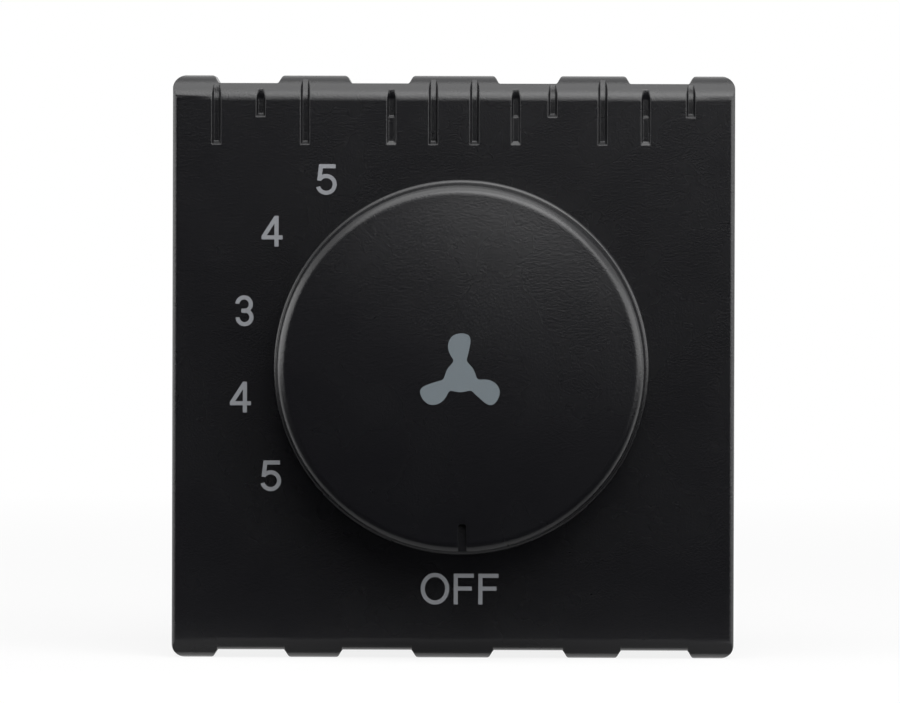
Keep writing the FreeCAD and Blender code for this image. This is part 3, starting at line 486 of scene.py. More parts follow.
@dataclass(frozen=True)
class SparkErodedPlastic(Finish):
    """Plastic moulded in a spark-eroded tool: a fine even grain that scatters the gloss.

    The grain is drawn coarser than a real one of a few hundredths of a millimetre, so that it shows.
    """

    grain: float = 0.17 * MM
    relief: float = 0.015 * MM
    edge: float = 0.0
    cloud: float = 6.0 * MM
    cloud_depth: float = 0.04

    def texture(self, tree: Tree, shader: Node, place: Socket) -> None:
        """Add the grain as relief on softly rounded edges, and slow clouds in the gloss.

        Args:
            tree: The material's node tree.
            shader: Its main shader.
            place: The object coordinates.
        """
        grain = add_node(tree, "ShaderNodeTexNoise", links={"Vector": place},
                         values={"Scale": 1 / self.grain, "Detail": 3.0, "Roughness": 0.6})
        bump = add_node(tree, "ShaderNodeBump", values={"Strength": 1.0, "Distance": self.relief},
                        links={"Height": grain.outputs[0]})
        if self.edge:
            rounded = add_node(tree, "ShaderNodeBevel", attributes={"samples": 6},
                               values={"Radius": self.edge})
            tree.links.new(rounded.outputs["Normal"], bump.inputs["Normal"])
        tree.links.new(bump.outputs["Normal"], shader.inputs["Normal"])
        clouds = add_node(tree, "ShaderNodeTexNoise", values={"Scale": 1 / self.cloud, "Detail": 3.0},
                          links={"Vector": place})
        gloss = add_node(tree, "ShaderNodeMapRange",
                         values={"To Min": self.roughness - self.cloud_depth,
                                 "To Max": self.roughness + self.cloud_depth},
                         links={"Value": clouds.outputs[0]})
        tree.links.new(gloss.outputs["Result"], shader.inputs["Roughness"])


@dataclass(frozen=True)
class PlatedMetal(Finish):
    """Plated or drawn metal: fine lines that stretch the highlight."""

    line: float = 0.12 * MM
    stretch: float = 12.0
    relief: float = 0.002 * MM

    def texture(self, tree: Tree, shader: Node, place: Socket) -> None:
        """Add drawn lines as relief and as changes of gloss.

        Args:
            tree: The material's node tree.
            shader: Its main shader.
            place: The object coordinates.
        """
        drawn = add_node(tree, "ShaderNodeMapping", values={"Scale": (1.0, 1 / self.stretch, 1.0)},
                         links={"Vector": place})
        lines = add_node(tree, "ShaderNodeTexNoise", values={"Scale": 1 / self.line, "Detail": 3.0},
                         links={"Vector": drawn.outputs["Vector"]})
        bump = add_node(tree, "ShaderNodeBump", values={"Strength": 1.0, "Distance": self.relief},
                        links={"Height": lines.outputs[0]})
        tree.links.new(bump.outputs["Normal"], shader.inputs["Normal"])
        gloss = add_node(tree, "ShaderNodeMapRange",
                         values={"To Min": self.roughness * 0.8, "To Max": self.roughness * 1.2},
                         links={"Value": lines.outputs[0]})
        tree.links.new(gloss.outputs["Result"], shader.inputs["Roughness"])


@dataclass(frozen=True)
class FibreBoard(Finish):
    """Paper-phenolic board: short fibres in a brownish resin."""

    fibre: float = 0.5 * MM
    dark: str = "#7d5f2e"

    def texture(self, tree: Tree, shader: Node, place: Socket) -> None:
        """Let the colour wander between resin and fibre.

        Args:
            tree: The material's node tree.
            shader: Its main shader.
            place: The object coordinates.
        """
        fibres = add_node(tree, "ShaderNodeTexNoise", values={"Scale": 1 / self.fibre, "Detail": 4.0},
                          links={"Vector": place})
        tint = add_node(tree, "ShaderNodeMix", attributes={"data_type": "RGBA"},
                        values={6: linear(self.dark), 7: linear(self.colour)}, links={0: fibres.outputs[0]})
        tree.links.new(tint.outputs[2], shader.inputs["Base Color"])


# Black ABS from a spark-eroded tool: deep black, a soft sheen, no sharp reflections
COVER_ABS = SparkErodedPlastic("black_abs_cover", "#0b0b0e", roughness=0.27, ior=1.53, edge=0.12 * MM)
KNOB_ABS = SparkErodedPlastic("black_abs_knob", "#0b0b0e", roughness=0.27, ior=1.53, edge=0.05 * MM)
# Printed marks: pale blue-grey ink, matt and slightly rough
DIAL_INK = SparkErodedPlastic("pale_grey_print", "#75777b", roughness=0.6, grain=0.15 * MM, relief=0.001 * MM)
SIGN_INK = SparkErodedPlastic("grey_print", "#535b60", roughness=0.6, grain=0.15 * MM, relief=0.001 * MM)
# Charcoal polycarbonate of the housing: darker grey with a dull moulded sheen
HOUSING_PC = SparkErodedPlastic("charcoal_polycarbonate", "#2a2a2d", roughness=0.5, ior=1.58, specular=0.3,
                                grain=0.3 * MM)
# Light grey polyamide of the terminals: slightly waxy
TERMINAL_PA = SparkErodedPlastic("light_grey_polyamide", "#9fa2a3", roughness=0.48, ior=1.53, grain=0.4 * MM,
                                 relief=0.003 * MM)
# Brown phenolic of the switch body: dull, a little marbled
SWITCH_PHENOLIC = SparkErodedPlastic("brown_phenolic", "#3a2a20", roughness=0.5, ior=1.6, cloud=2.5 * MM,
                                     cloud_depth=0.1)
# Natural nylon of the rotor: milky, waxy
ROTOR_NYLON = SparkErodedPlastic("natural_nylon", "#dcd8cc", roughness=0.4, ior=1.53, grain=0.5 * MM,
                                 relief=0.002 * MM)
# Paper-phenolic board: brownish, with a faint fibre in it
BOARD_PAPER = FibreBoard("paper_phenolic_board", "#b58d4c", roughness=0.55, ior=1.55)
# Potted capacitor cases: smooth yellow plastic with a plain gloss
CAPACITOR_CASE = SparkErodedPlastic("yellow_case_plastic", "#c9a62e", roughness=0.3, ior=1.5, grain=0.8 * MM,
                                    relief=0.001 * MM)
# Flameproof lacquer on ceramic: pale blue, eggshell
RESISTOR_LACQUER = SparkErodedPlastic("pale_blue_lacquer", "#8fa9b8", roughness=0.38, ior=1.5, grain=0.3 * MM)
# Zinc-plated steel: bluish silver, soft highlights
ZINC_STEEL = PlatedMetal("zinc_plated_steel", "#c4c4be", roughness=0.32, metallic=1.0)
# Spring strip: brighter and cooler than the screws
SPRING_STEEL = PlatedMetal("bright_spring_steel", "#b4b4b2", roughness=0.25, metallic=1.0)
# Nickel-plated brass: warm silver
NICKEL_BRASS = PlatedMetal("nickel_plated_brass", "#cfc8b4", roughness=0.28, metallic=1.0)
# Plain brass: yellow, drawn surface
PLAIN_BRASS = PlatedMetal("plain_brass", "#d2a956", roughness=0.3, metallic=1.0)

# Felt of the studio's cards: dull, black or mid-grey
BLACK_FELT = Finish("black_card_felt", "#0a0a0a", roughness=0.95, specular=0.0)
GREY_FELT = Finish("grey_card_felt", "#b4b4b4", roughness=0.95, specular=0.0)

# Finishes of the solids that are shown as the frame has them
NODE_FINISHES = {
    "circuit_board": BOARD_PAPER,
    "capacitor_large": CAPACITOR_CASE,
    "capacitor_small": CAPACITOR_CASE,
    "surge_resistor": RESISTOR_LACQUER,
    "bleed_resistors": RESISTOR_LACQUER,
    "terminal_pins": NICKEL_BRASS,
    "terminal_cage_1": NICKEL_BRASS,
    "terminal_cage_2": NICKEL_BRASS,
    "switch_base": SWITCH_PHENOLIC,
    "switch_cover": SWITCH_PHENOLIC,
    "switch_rivets": PLAIN_BRASS,
    "fixed_contacts": PLAIN_BRASS,
    "common_contact": PLAIN_BRASS,
    "detent_spring": SPRING_STEEL,
    "knob_spring": SPRING_STEEL,
    "rotor": ROTOR_NYLON,
    "wiper_contact": PLAIN_BRASS,
}


def settle(piece: Piece, body: Body, finish: Finish, slot: str, *nodes: str) -> None:
    """Dress a finished piece and hand it to the frame.

    Args:
        piece: The finished piece.
        body: The body that it moves with.
        finish: Its finish.
        slot: The record's material slot of that finish; not used.
        nodes: The frame's nodes that it stands for.
    """
    finish.dress(piece)
    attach(piece, body.value)
    if nodes:
        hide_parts(*nodes)
    LOG.info("%s: %d faces, %s", piece.name, len(piece.data.polygons), finish.name)


# Sub-assemblies

@dataclass
class FrontCover:
    """The black cap: rolled edges, tabs above and below, grooves along the upper edge."""

    face_depth: float = 2.0 * MM
    wall: float = 1.5 * MM
    side_round: float = 0.45 * MM
    corner_round: float = 1.1 * MM
    top_round: float = 2.03 * MM
    roll_power: float = 1.8
    roll_steps: int = 24
    bottom_round: float = 1.05 * MM
    rim_relief: float = 1.5 * MM
    rim_edge: float = 0.12 * MM
    tab_rise: float = 0.63 * MM
    tab_lean: float = 0.36 * MM
    crest_round: float = 0.32 * MM
    foot_round: float = 0.2 * MM
    corner_tab_start: float = 18.85 * MM
    side_tab_centre: float = 11.15 * MM
    top_tab_widths: tuple[float, float] = (5.85 * MM, 7.2 * MM)
    bottom_tab_widths: tuple[float, float] = (4.6 * MM, 6.5 * MM)
    groove_width: float = 0.68 * MM
    groove_floor: float = 0.42 * MM
    groove_depth: float = 0.35 * MM
    shallow_depth: float = 0.2 * MM
    tab_groove_turn: float = 62.0
    flank_groove_turn: float = 46.0
    gap_groove_turn: float = 32.0
    groove_run_out: float = 25.0
    groove_steps: int = 8
    groove_edge: float = 0.04 * MM
    foot_lean: float = 0.26 * MM
    long_groove: float = 3.5 * MM
    short_groove: float = 1.3 * MM
    groove_step: float = 1.45 * MM
    long_grooves: tuple[float, ...] = (-19.0 * MM, -11.9 * MM, -1.65 * MM, 1.65 * MM, 11.9 * MM)
    short_grooves: tuple[float, ...] = (-15.45 * MM, 7.9 * MM, 18.95 * MM)
    stepped_grooves: tuple[float, ...] = (-5.0 * MM, 4.95 * MM, 15.35 * MM)
    neck_hole: float = 6.15 * MM
    boss_place: tuple[float, float] = (16.6 * MM, 16.79 * MM)
    boss_radius: float = 2.5 * MM
    boss_end: float = 4.8 * MM
    pilot_radius: float = 1.42 * MM
    pilot_depth: float = 8.0 * MM
    past: float = 1.0 * MM
    slack: float = 0.005 * MM
    low: Vector = field(default_factory=lambda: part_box("front_cover")[0])
    high: Vector = field(default_factory=lambda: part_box("front_cover")[1])
    knob_x: float = field(default_factory=lambda: (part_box("knob")[0].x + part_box("knob")[1].x) / 2)

    @property
    def face(self) -> float:
        """The depth of the front face."""
        return self.low.y

    @property
    def half_width(self) -> float:
        """Half the cover's width."""
        return self.high.x

    @property
    def tab_height(self) -> float:
        """Height of the tabs' crests above the middle."""
        return self.high.z

    @property
    def gap_height(self) -> float:
        """Height of the edge between the tabs above the middle."""
        return self.high.z - self.tab_rise

    @property
    def roll_start(self) -> float:
        """Height at which the upper edge starts to roll over."""
        return self.tab_height - self.top_round

    def tab_spans(self, widths: tuple[float, float]) -> list[tuple[float, float]]:
        """Return where the tabs of one edge start and end.

        Args:
            widths: The widths of the side tabs and of the middle tab.

        Returns:
            The left and right foot of each tab; corner tabs run past the cover's sides.
        """
        side, middle = widths
        outside = self.half_width + self.past
        spans = [(-outside, -self.corner_tab_start), (self.corner_tab_start, outside),
                 (-middle / 2, middle / 2)]
        for sign in (-1, 1):
            spans.append((sign * self.side_tab_centre - side / 2, sign * self.side_tab_centre + side / 2))
        return spans

    def gap_spans(self, widths: tuple[float, float]) -> list[tuple[float, float]]:
        """Return where the gaps between the tabs of one edge start and end, at the tabs' feet."""
        feet = sorted(self.tab_spans(widths))
        return [(left[1], right[0]) for left, right in zip(feet, feet[1:])]

    def roll_point(self, turn: float) -> tuple[float, float]:
        """Return a point of the upper edge's roll, which starts more crisply than a circle.

        Args:
            turn: How far round the roll it lies, in degrees from the face.

        Returns:
            Its depth behind the face and its height above the roll's start.
        """
        across, up = (abs(f(math.radians(turn))) ** (2 / self.roll_power) for f in (math.cos, math.sin))
        return self.top_round * (1 - across), self.top_round * up

    def bar(self) -> Piece:
        """Return the cap before its gaps are cut: a bar with a rolled upper and lower front edge."""
        outside, low_round = self.half_width + self.past, self.bottom_round + self.tab_rise
        section = [(self.past, -self.tab_height)]
        section += arc((self.face + low_round, low_round - self.tab_height), low_round, 90, 180, 20)
        for k in range(self.roll_steps + 1):
            y, z = self.roll_point(90 * k / self.roll_steps)
            section.append((self.face + y, self.roll_start + z))
        section.append((self.past, self.tab_height))
        outline = [Vector((-outside, y, z)) for y, z in section]
        return swept("front_cover_black", outline, Vector((2 * outside, 0, 0)))

    def flank(self) -> list[tuple[float, float]]:
        """Return the line of a tab's flank: outwards from its foot and up from the gap, crest first."""
        slope = math.atan2(self.tab_rise, self.tab_lean)
        reach = math.tan(slope / 2)
        points = []
        for k in range(7):
            turn = slope * k / 6
            points.append((self.crest_round * math.sin(turn) - self.tab_lean - self.crest_round * reach,
                           self.tab_rise - self.crest_round * (1 - math.cos(turn))))
        for k in range(7):
            turn = slope * (1 - k / 6)
            points.append((self.foot_round * (reach - math.sin(turn)),
                           self.foot_round * (1 - math.cos(turn))))
        return points

    def notch_tool(self, gap: tuple[float, float], up: int) -> Piece:
        """Return the cutter of one gap: a slot through the depth with the tabs' flanks as its sides.

        Args:
            gap: Where it starts and ends, at the tabs' feet.
            up: 1 for the upper edge and -1 for the lower.
        """
        left = [(gap[0] + x, z) for x, z in self.flank()]
        right = [(gap[1] - x, z) for x, z in reversed(self.flank())]
        clear = self.tab_rise + self.slack
        outline = [(left[0][0], self.tab_rise + self.past), (left[0][0], clear), *left[1:], *right[:-1],
                   (right[-1][0], clear), (right[-1][0], self.tab_rise + self.past)]
        points = [Vector((x, self.face - self.past, up * (self.gap_height + z))) for x, z in outline]
        return swept("notch", points, Vector((0, self.past * 2 - self.face, 0)))

    def gap_roll_tool(self, gap: tuple[float, float]) -> Piece:
        """Return the cutter that rolls the lower edge in one gap, more tightly than on the tabs.

        Args:
            gap: Where it starts and ends, at the tabs' feet.
        """
        radius, end = self.bottom_round, self.tab_height + self.past
        start = self.gap_height - radius
        roll = []
        for k in range(15):
            turn = math.pi / 2 * k / 14
            roll.append((self.face + radius * (1 - math.cos(turn)), start + radius * math.sin(turn)))
        roll[0], roll[-1] = (self.face - self.slack, start), (roll[-1][0], self.gap_height + self.slack)
        outline = [(self.face - self.past, start), *roll, (roll[-1][0], end), (self.face - self.past, end)]
        points = [Vector((gap[0], y, -z)) for y, z in outline]
        return swept("gap_roll", points, Vector((gap[1] - gap[0], 0, 0)))

    def envelope(self) -> Piece:
        """Return the rounded front outline that trims the bar, a hair clear of its faces."""
        front, top = self.face - self.slack, self.tab_height + self.slack
        outline = add_block("outline", (-self.half_width, front, -top), (self.half_width, 0, top))
        with editing(outline, Element.EDGE):
            mesh = bmesh.from_edit_mesh(outline.data)
            for edge in mesh.edges:
                edge.select_set(abs(edge.verts[0].co.y - edge.verts[1].co.y) > NEAR)
            bmesh.update_edit_mesh(outline.data)
            bpy.ops.mesh.bevel(offset=self.corner_round, segments=10, affect="EDGES", clamp_overlap=False)
        bevel_edges(outline, self.side_round, 6, lambda p: p.y < front + NEAR)
        bevel_edges(outline, self.rim_edge, 2, lambda p: p.y > -NEAR)
        return outline

    def groove_turn(self, x: float) -> float:
        """Return how far a groove follows the roll, in degrees: most on a tab, least in a gap."""
        spans = self.tab_spans(self.top_tab_widths)
        if any(abs(x - foot) < self.groove_width for span in spans for foot in span):
            return self.flank_groove_turn
        return self.tab_groove_turn if any(low < x < high for low, high in spans) else self.gap_groove_turn

    def groove_tool(self, x: float, length: float, depth: float) -> Piece:
        """Return the cutter of one groove: a tapered slot from a sloping foot, which runs out on the roll.

        Args:
            x: Where it stands across the width.
            length: How far it runs down from where the edge starts to roll over.
            depth: How deep it is.
        """
        half, floor, edge = self.groove_width / 2, self.groove_floor / 2, self.groove_edge
        wide, foot = half + edge + depth, self.roll_start - length
        section = ((-wide, -depth), (wide, -depth), (half, edge), (floor, depth), (-floor, depth),
                   (-half, edge))
        outline = [Vector((x + across, self.face + deep, foot + self.foot_lean * deep / depth))
                   for across, deep in section]
        tool = swept("groove", outline, Vector((0, 0, length + self.top_round)))
        end, place = self.groove_turn(x), Vector((0, depth, 0))
        with editing(tool, Element.FACE):
            bpy.ops.mesh.select_all(action="SELECT")
            bpy.ops.mesh.bisect(plane_co=(0, 0, self.roll_start), plane_no=(0, 0, 1), use_fill=True,
                                clear_outer=True, threshold=NEAR)
            pick(tool, Element.FACE, lambda p: abs(p.z - self.roll_start) < NEAR)
            for step in range(1, self.groove_steps + 1):
                share = step / self.groove_steps
                y, z = self.roll_point(end * share)
                left = depth * min(1.0, (1 - share) * end / self.groove_run_out)
                target = Vector((0, y + left - 4 * self.slack * share, z))
                bpy.ops.mesh.extrude_region_move(TRANSFORM_OT_translate={"value": target - place})
                place = target
            bpy.ops.mesh.select_all(action="SELECT")
            bpy.ops.mesh.normals_make_consistent(inside=False)
        return tool

    def cut_grooves(self, cover: Piece) -> None:
        """Cut the grooves along the upper edge: the plain ones and the shallow runs, then the deep steps."""
        first = [self.groove_tool(x, self.long_groove, self.groove_depth) for x in self.long_grooves]
        first += [self.groove_tool(x, self.short_groove, self.groove_depth) for x in self.short_grooves]
        first += [self.groove_tool(x, self.long_groove, self.shallow_depth) for x in self.stepped_grooves]
        steps = [self.groove_tool(x, self.groove_step, self.groove_depth) for x in self.stepped_grooves]
        for tools in (first, steps):
            combine(cover, join(tools), Operation.CUT)

    def hollow(self, cover: Piece) -> None:
        """Hollow the cap, set its screw bosses and open the hole for the switch's neck."""
        inner_x, inner_z = self.half_width - self.wall, self.gap_height - self.wall
        inner_y = self.face + self.face_depth
        combine(cover, add_block("cavity", (-inner_x, inner_y, -inner_z), (inner_x, self.past, inner_z)),
                Operation.CUT)
        boss_x, boss_z = self.boss_place
        places = [(sx * boss_x, sz * boss_z) for sx in (-1, 1) for sz in (-1, 1)]
        root = inner_y - self.wall / 2
        bosses = [add_rod("boss", (x, root, z), self.boss_radius, self.boss_radius, self.boss_end - root,
                          sides=48) for x, z in places]
        combine(cover, join(bosses), Operation.JOIN)
        pilots = [add_rod("pilot", (x, self.boss_end - self.pilot_depth, z), self.pilot_radius,
                          self.pilot_radius, self.pilot_depth + self.past, sides=32) for x, z in places]
        neck = add_rod("neck_hole", (self.knob_x, self.face - self.past, 0), self.neck_hole, self.neck_hole,
                       self.face_depth + 2 * self.past, sides=96)
        near, far, across = inner_z - self.wall / 2, self.tab_height + self.past, inner_x - self.slack
        reliefs = [add_block("relief", (-across, -self.rim_relief, low), (across, self.past, high))
                   for low, high in ((-far, -near), (near, far))]
        combine(cover, join([*pilots, neck, *reliefs]), Operation.CUT)

    def build(self) -> Piece:
        """Return the finished cover, standing for the frame's front_cover."""
        cover = self.bar()
        combine(cover, self.envelope(), Operation.KEEP_COMMON)
        top, bottom = self.gap_spans(self.top_tab_widths), self.gap_spans(self.bottom_tab_widths)
        notches = [self.notch_tool(gap, 1) for gap in top] + [self.notch_tool(gap, -1) for gap in bottom]
        combine(cover, join(notches), Operation.CUT)
        combine(cover, join([self.gap_roll_tool(gap) for gap in bottom]), Operation.CUT)
        self.hollow(cover)
        self.cut_grooves(cover)
        shade(cover, 32)
        settle(cover, Body.HOUSING, COVER_ABS, "cover_plastic", "front_cover")
        return cover


@dataclass
class Knob:
    """The round knob: base lip, drafted wall, crowned face, pointer groove, and ribs inside."""

    lip: float = 0.24 * MM
    lip_height: float = 0.55 * MM
    draft: float = 0.2 * MM
    edge_round: float = 0.85 * MM
    crown: float = 0.7 * MM
    wall: float = 1.6 * MM
    face_depth: float = 1.8 * MM
    bore: float = 3.03 * MM
    flat: float = 2.28 * MM
    boss_wall: float = 1.8 * MM
    ribs: int = 6
    rib_width: float = 0.9 * MM
    rib_depth: float = 3.6 * MM
    pointer_width: float = 0.73 * MM
    pointer_length: float = 2.35 * MM
    pointer_depth: float = 0.45 * MM
    pointer_turn: float = 0.75
    print_room: float = 0.02 * MM
    steps: int = 224
    low: Vector = field(default_factory=lambda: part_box("knob")[0])
    high: Vector = field(default_factory=lambda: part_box("knob")[1])

    @property
    def axis_x(self) -> float:
        """Where the knob's axis stands across the width."""
        return (self.low.x + self.high.x) / 2

    @property
    def radius(self) -> float:
        """The radius of the base lip."""
        return (self.high.x - self.low.x) / 2

    @property
    def edge(self) -> float:
        """The depth at which the crowned face meets its rounded edge."""
        return self.low.y + self.crown

    @property
    def shoulder(self) -> float:
        """The wall's radius at its front."""
        return self.radius - self.lip - self.draft

    @property
    def rim(self) -> float:
        """The radius of the crowned face."""
        return self.shoulder - self.edge_round

    @property
    def top(self) -> float:
        """The depth of the crown's middle, a print's thickness behind the frame's."""
        return self.low.y + self.print_room

    def profile(self) -> list[tuple[float, float]]:
        """Return the half section, from the crown's middle over the wall to the bore's end."""
        rise = self.edge - self.top
        sphere = (self.rim ** 2 + rise ** 2) / (2 * rise)
        half = math.degrees(math.asin(self.rim / sphere))
        base, wall = self.high.y, self.radius - self.lip
        lip_top = base - self.lip_height
        inner, inner_top = wall - self.wall, self.shoulder - self.wall
        ceiling = self.edge + self.face_depth
        points = arc((0, self.top + sphere), sphere, 90, 90 - half, 12)
        points += arc((self.rim, self.edge + self.edge_round), self.edge_round, 90, 0, 10)[1:]
        points += arc((wall, lip_top + self.lip), self.lip, 90, 0, 5)
        points += arc((self.radius - self.lip / 3, base - self.lip / 3), self.lip / 3, 0, -90, 3)
        boss = self.bore + self.boss_wall
        points += [(inner, base), (inner_top, ceiling), (boss, ceiling), (boss, base), (self.bore, base),
                   (self.bore, ceiling), (0, ceiling)]
        return points

    def inside(self) -> Piece:
        """Return the ribs under the face and the flat in the bore."""
        ceiling = self.edge + self.face_depth
        sunk = ceiling - self.face_depth / 2
        pieces = []
        for k in range(self.ribs):
            rib = add_block("rib", (self.axis_x - self.rib_width / 2, sunk, self.bore + self.boss_wall / 2),
                            (self.axis_x + self.rib_width / 2, ceiling + self.rib_depth,
                             self.shoulder - self.wall / 2))
            turn_mesh(rib, 2 * math.pi / self.ribs * k, (self.axis_x, 0, 0))
            pieces.append(rib)
        reach = self.bore + self.boss_wall / 2
        width = math.sqrt(self.bore ** 2 - self.flat ** 2) + self.boss_wall / 4
        pieces.append(add_block("bore_flat", (self.axis_x - width, sunk, self.flat),
                                (self.axis_x + width, self.high.y, reach)))
        return join(pieces)

    def pointer_tool(self) -> Piece:
        """Return the cutter of the pointer groove, which runs out through the edge at the bottom."""
        half = self.pointer_width / 2
        inner_end = -(self.shoulder - self.pointer_length) - half
        front = self.top - self.pointer_depth
        tool = add_rod("pointer", (self.axis_x, front, inner_end), half, half * 0.86,
                       self.edge + self.pointer_depth - front, sides=32)
        shift_corners(tool, (0, 0, -self.pointer_length - self.wall), lambda p: p.z < inner_end)
        turn_mesh(tool, math.radians(self.pointer_turn), (self.axis_x, 0, 0))
        return tool

    def build(self) -> Piece:
        """Return the finished knob, standing for the frame's knob."""
        knob = turned("knob_black", self.profile(), self.axis_x, self.steps)
        combine(knob, self.inside(), Operation.JOIN)
        combine(knob, self.pointer_tool(), Operation.CUT)
        soften(knob, 0.04 * MM, angle=40)
        settle(knob, Body.KNOB, KNOB_ABS, "knob_plastic", "knob")
        return knob


@dataclass(frozen=True)
class Line:
    """A straight stroke between two points, in shares of the letters' height."""

    start: tuple[float, float]
    end: tuple[float, float]


@dataclass(frozen=True)
class Bow:
    """A round stroke, in shares of the letters' height and in degrees anticlockwise from the right."""

    centre: tuple[float, float]
    radius: float
    start: float
    sweep: float


@dataclass(frozen=True)
class Ring:
    """A closed oval stroke, in shares of the letters' height."""

    centre: tuple[float, float]
    half_width: float
    half_height: float


@dataclass(frozen=True)
class Mark:
    """One printed mark: its name, its letters and the place of its middle."""

    name: str
    letters: str
    x: float
    z: float


@dataclass
class Lettering:
    """A pen of even width that draws plain figures and letters as thin solids."""

    height: float = 2.46 * MM
    stroke: float = 0.33 * MM
    front: float = 0.02 * MM
    back: float = 0.02 * MM
    spacing: float = 0.36 * MM
    figures: dict = field(default_factory=lambda: {
        "3": (Bow((0.294, 0.716), 0.22, 176, -266), Line((0.206, 0.505), (0.3, 0.505)),
              Bow((0.309, 0.29), 0.224, 90, -270)),
        "4": (Line((0.487, 0.0), (0.487, 1.0)), Line((0.0, 0.3), (0.685, 0.3)),
              Line((0.056, 0.308), (0.48, 0.967))),
        "5": (Line((0.1, 0.933), (0.632, 0.933)), Line((0.16, 0.99), (0.1, 0.465)),
              Bow((0.328, 0.341), 0.274, 146, -310)),
        "F": (Line((0.067, 0.0), (0.067, 1.0)), Line((0.0, 0.933), (0.655, 0.933)),
              Line((0.06, 0.515), (0.59, 0.515))),
        "O": (Ring((0.465, 0.507), 0.397, 0.449),),
    })

    def line(self, line: Line) -> Piece:
        """Return one straight stroke."""
        start, end = Vector(line.start) * self.height, Vector(line.end) * self.height
        run = end - start
        half = self.stroke / 2
        piece = add_block("stroke", (0, -self.front, -half), (run.length, self.back, half))
        turn_mesh(piece, math.atan2(run.y, run.x), (0, 0, 0))
        shift_corners(piece, (start.x, 0, start.y))
        return piece

    def bow(self, bow: Bow) -> Piece:
        """Return one round stroke: its section, spun about the bow's middle."""
        radius, half = bow.radius * self.height, self.stroke / 2
        piece = add_block("stroke", (radius - half, -self.front, 0), (radius + half, self.back, half))
        with editing(piece, Element.FACE):
            pick(piece, Element.FACE, lambda p: p.z > half - NEAR)
            bpy.ops.mesh.delete(type="VERT")
            bpy.ops.mesh.select_all(action="SELECT")
            bpy.ops.mesh.edge_face_add()
            bpy.ops.transform.rotate(value=math.radians(bow.start), orient_axis="Y",
                                     center_override=(0, 0, 0))
            bpy.ops.mesh.spin(steps=40, angle=math.radians(bow.sweep), center=(0, 0, 0), axis=(0, 1, 0))
            bpy.ops.mesh.select_all(action="SELECT")
            bpy.ops.mesh.normals_make_consistent(inside=False)
            bpy.ops.transform.translate(value=(bow.centre[0] * self.height, 0, bow.centre[1] * self.height))
        return piece

    def oval(self, ring: Ring, grow: float, room: float) -> Piece:
        """Return the oval disc inside or outside a ring.

        Args:
            ring: The ring.
            grow: How far the oval lies outside the ring's middle line.
            room: How far its ends stand out past the print's.
        """
        across, up = ring.half_width * self.height + grow, ring.half_height * self.height + grow
        middle = Vector((ring.centre[0], 0, ring.centre[1])) * self.height
        disc = add_rod("stroke", middle - Vector((0, self.front + room, 0)), up, up,
                       self.front + self.back + 2 * room, sides=72)
        with editing(disc, Element.CORNER):
            bpy.ops.mesh.select_all(action="SELECT")
            bpy.ops.transform.resize(value=(across / up, 1, 1), center_override=middle)
        return disc

    def ring(self, ring: Ring) -> Piece:
        """Return one closed stroke."""
        disc = self.oval(ring, self.stroke / 2, room=0)
        combine(disc, self.oval(ring, -self.stroke / 2, room=self.front), Operation.CUT)
        return disc

    def draw(self, mark: Mark, depth: float) -> Piece:
        """Return the letters of one mark, united and set in their place.

        Args:
            mark: What it says and where its middle is.
            depth: The depth of the face that carries it.
        """
        kinds = {Line: self.line, Bow: self.bow, Ring: self.ring}
        letters, at = [], 0.0
        for letter in mark.letters:
            strokes = [kinds[type(stroke)](stroke) for stroke in self.figures[letter]]
            for stroke in strokes[1:]:
                combine(strokes[0], stroke, Operation.JOIN)
            shift_corners(strokes[0], (at, 0, 0))
            at = max(corner.co.x for corner in strokes[0].data.vertices) + self.spacing
            letters.append(strokes[0])
        piece = join(letters)
        piece.name = piece.data.name = mark.name
        low, high = ([f(corner.co[k] for corner in piece.data.vertices) for k in (0, 2)] for f in (min, max))
        shift_corners(piece, (mark.x - (low[0] + high[0]) / 2, depth, mark.z - (low[1] + high[1]) / 2))
        return piece


@dataclass
class DialPrint:
    """The printed speed marks round the knob."""

    marks: tuple[Mark, ...] = (
        Mark("mark_off", "OFF", 0.56 * MM, -17.74 * MM),
        Mark("mark_speed_1", "5", -14.57 * MM, -8.74 * MM),
        Mark("mark_speed_2", "4", -17.02 * MM, -2.44 * MM),
        Mark("mark_speed_3", "3", -16.72 * MM, 4.46 * MM),
        Mark("mark_speed_4", "4", -14.52 * MM, 10.84 * MM),
        Mark("mark_speed_5", "5", -10.18 * MM, 14.98 * MM),
    )
    lettering: Lettering = field(default_factory=Lettering)
    face: float = field(default_factory=lambda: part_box("front_cover")[0].y)

    def build(self) -> list[Piece]:
        """Return all the marks."""
        pieces = []
        for mark in self.marks:
            piece = self.lettering.draw(mark, self.face)
            shade(piece, 30)
            settle(piece, Body.HOUSING, DIAL_INK, "cover_plastic")
            pieces.append(piece)
        return pieces


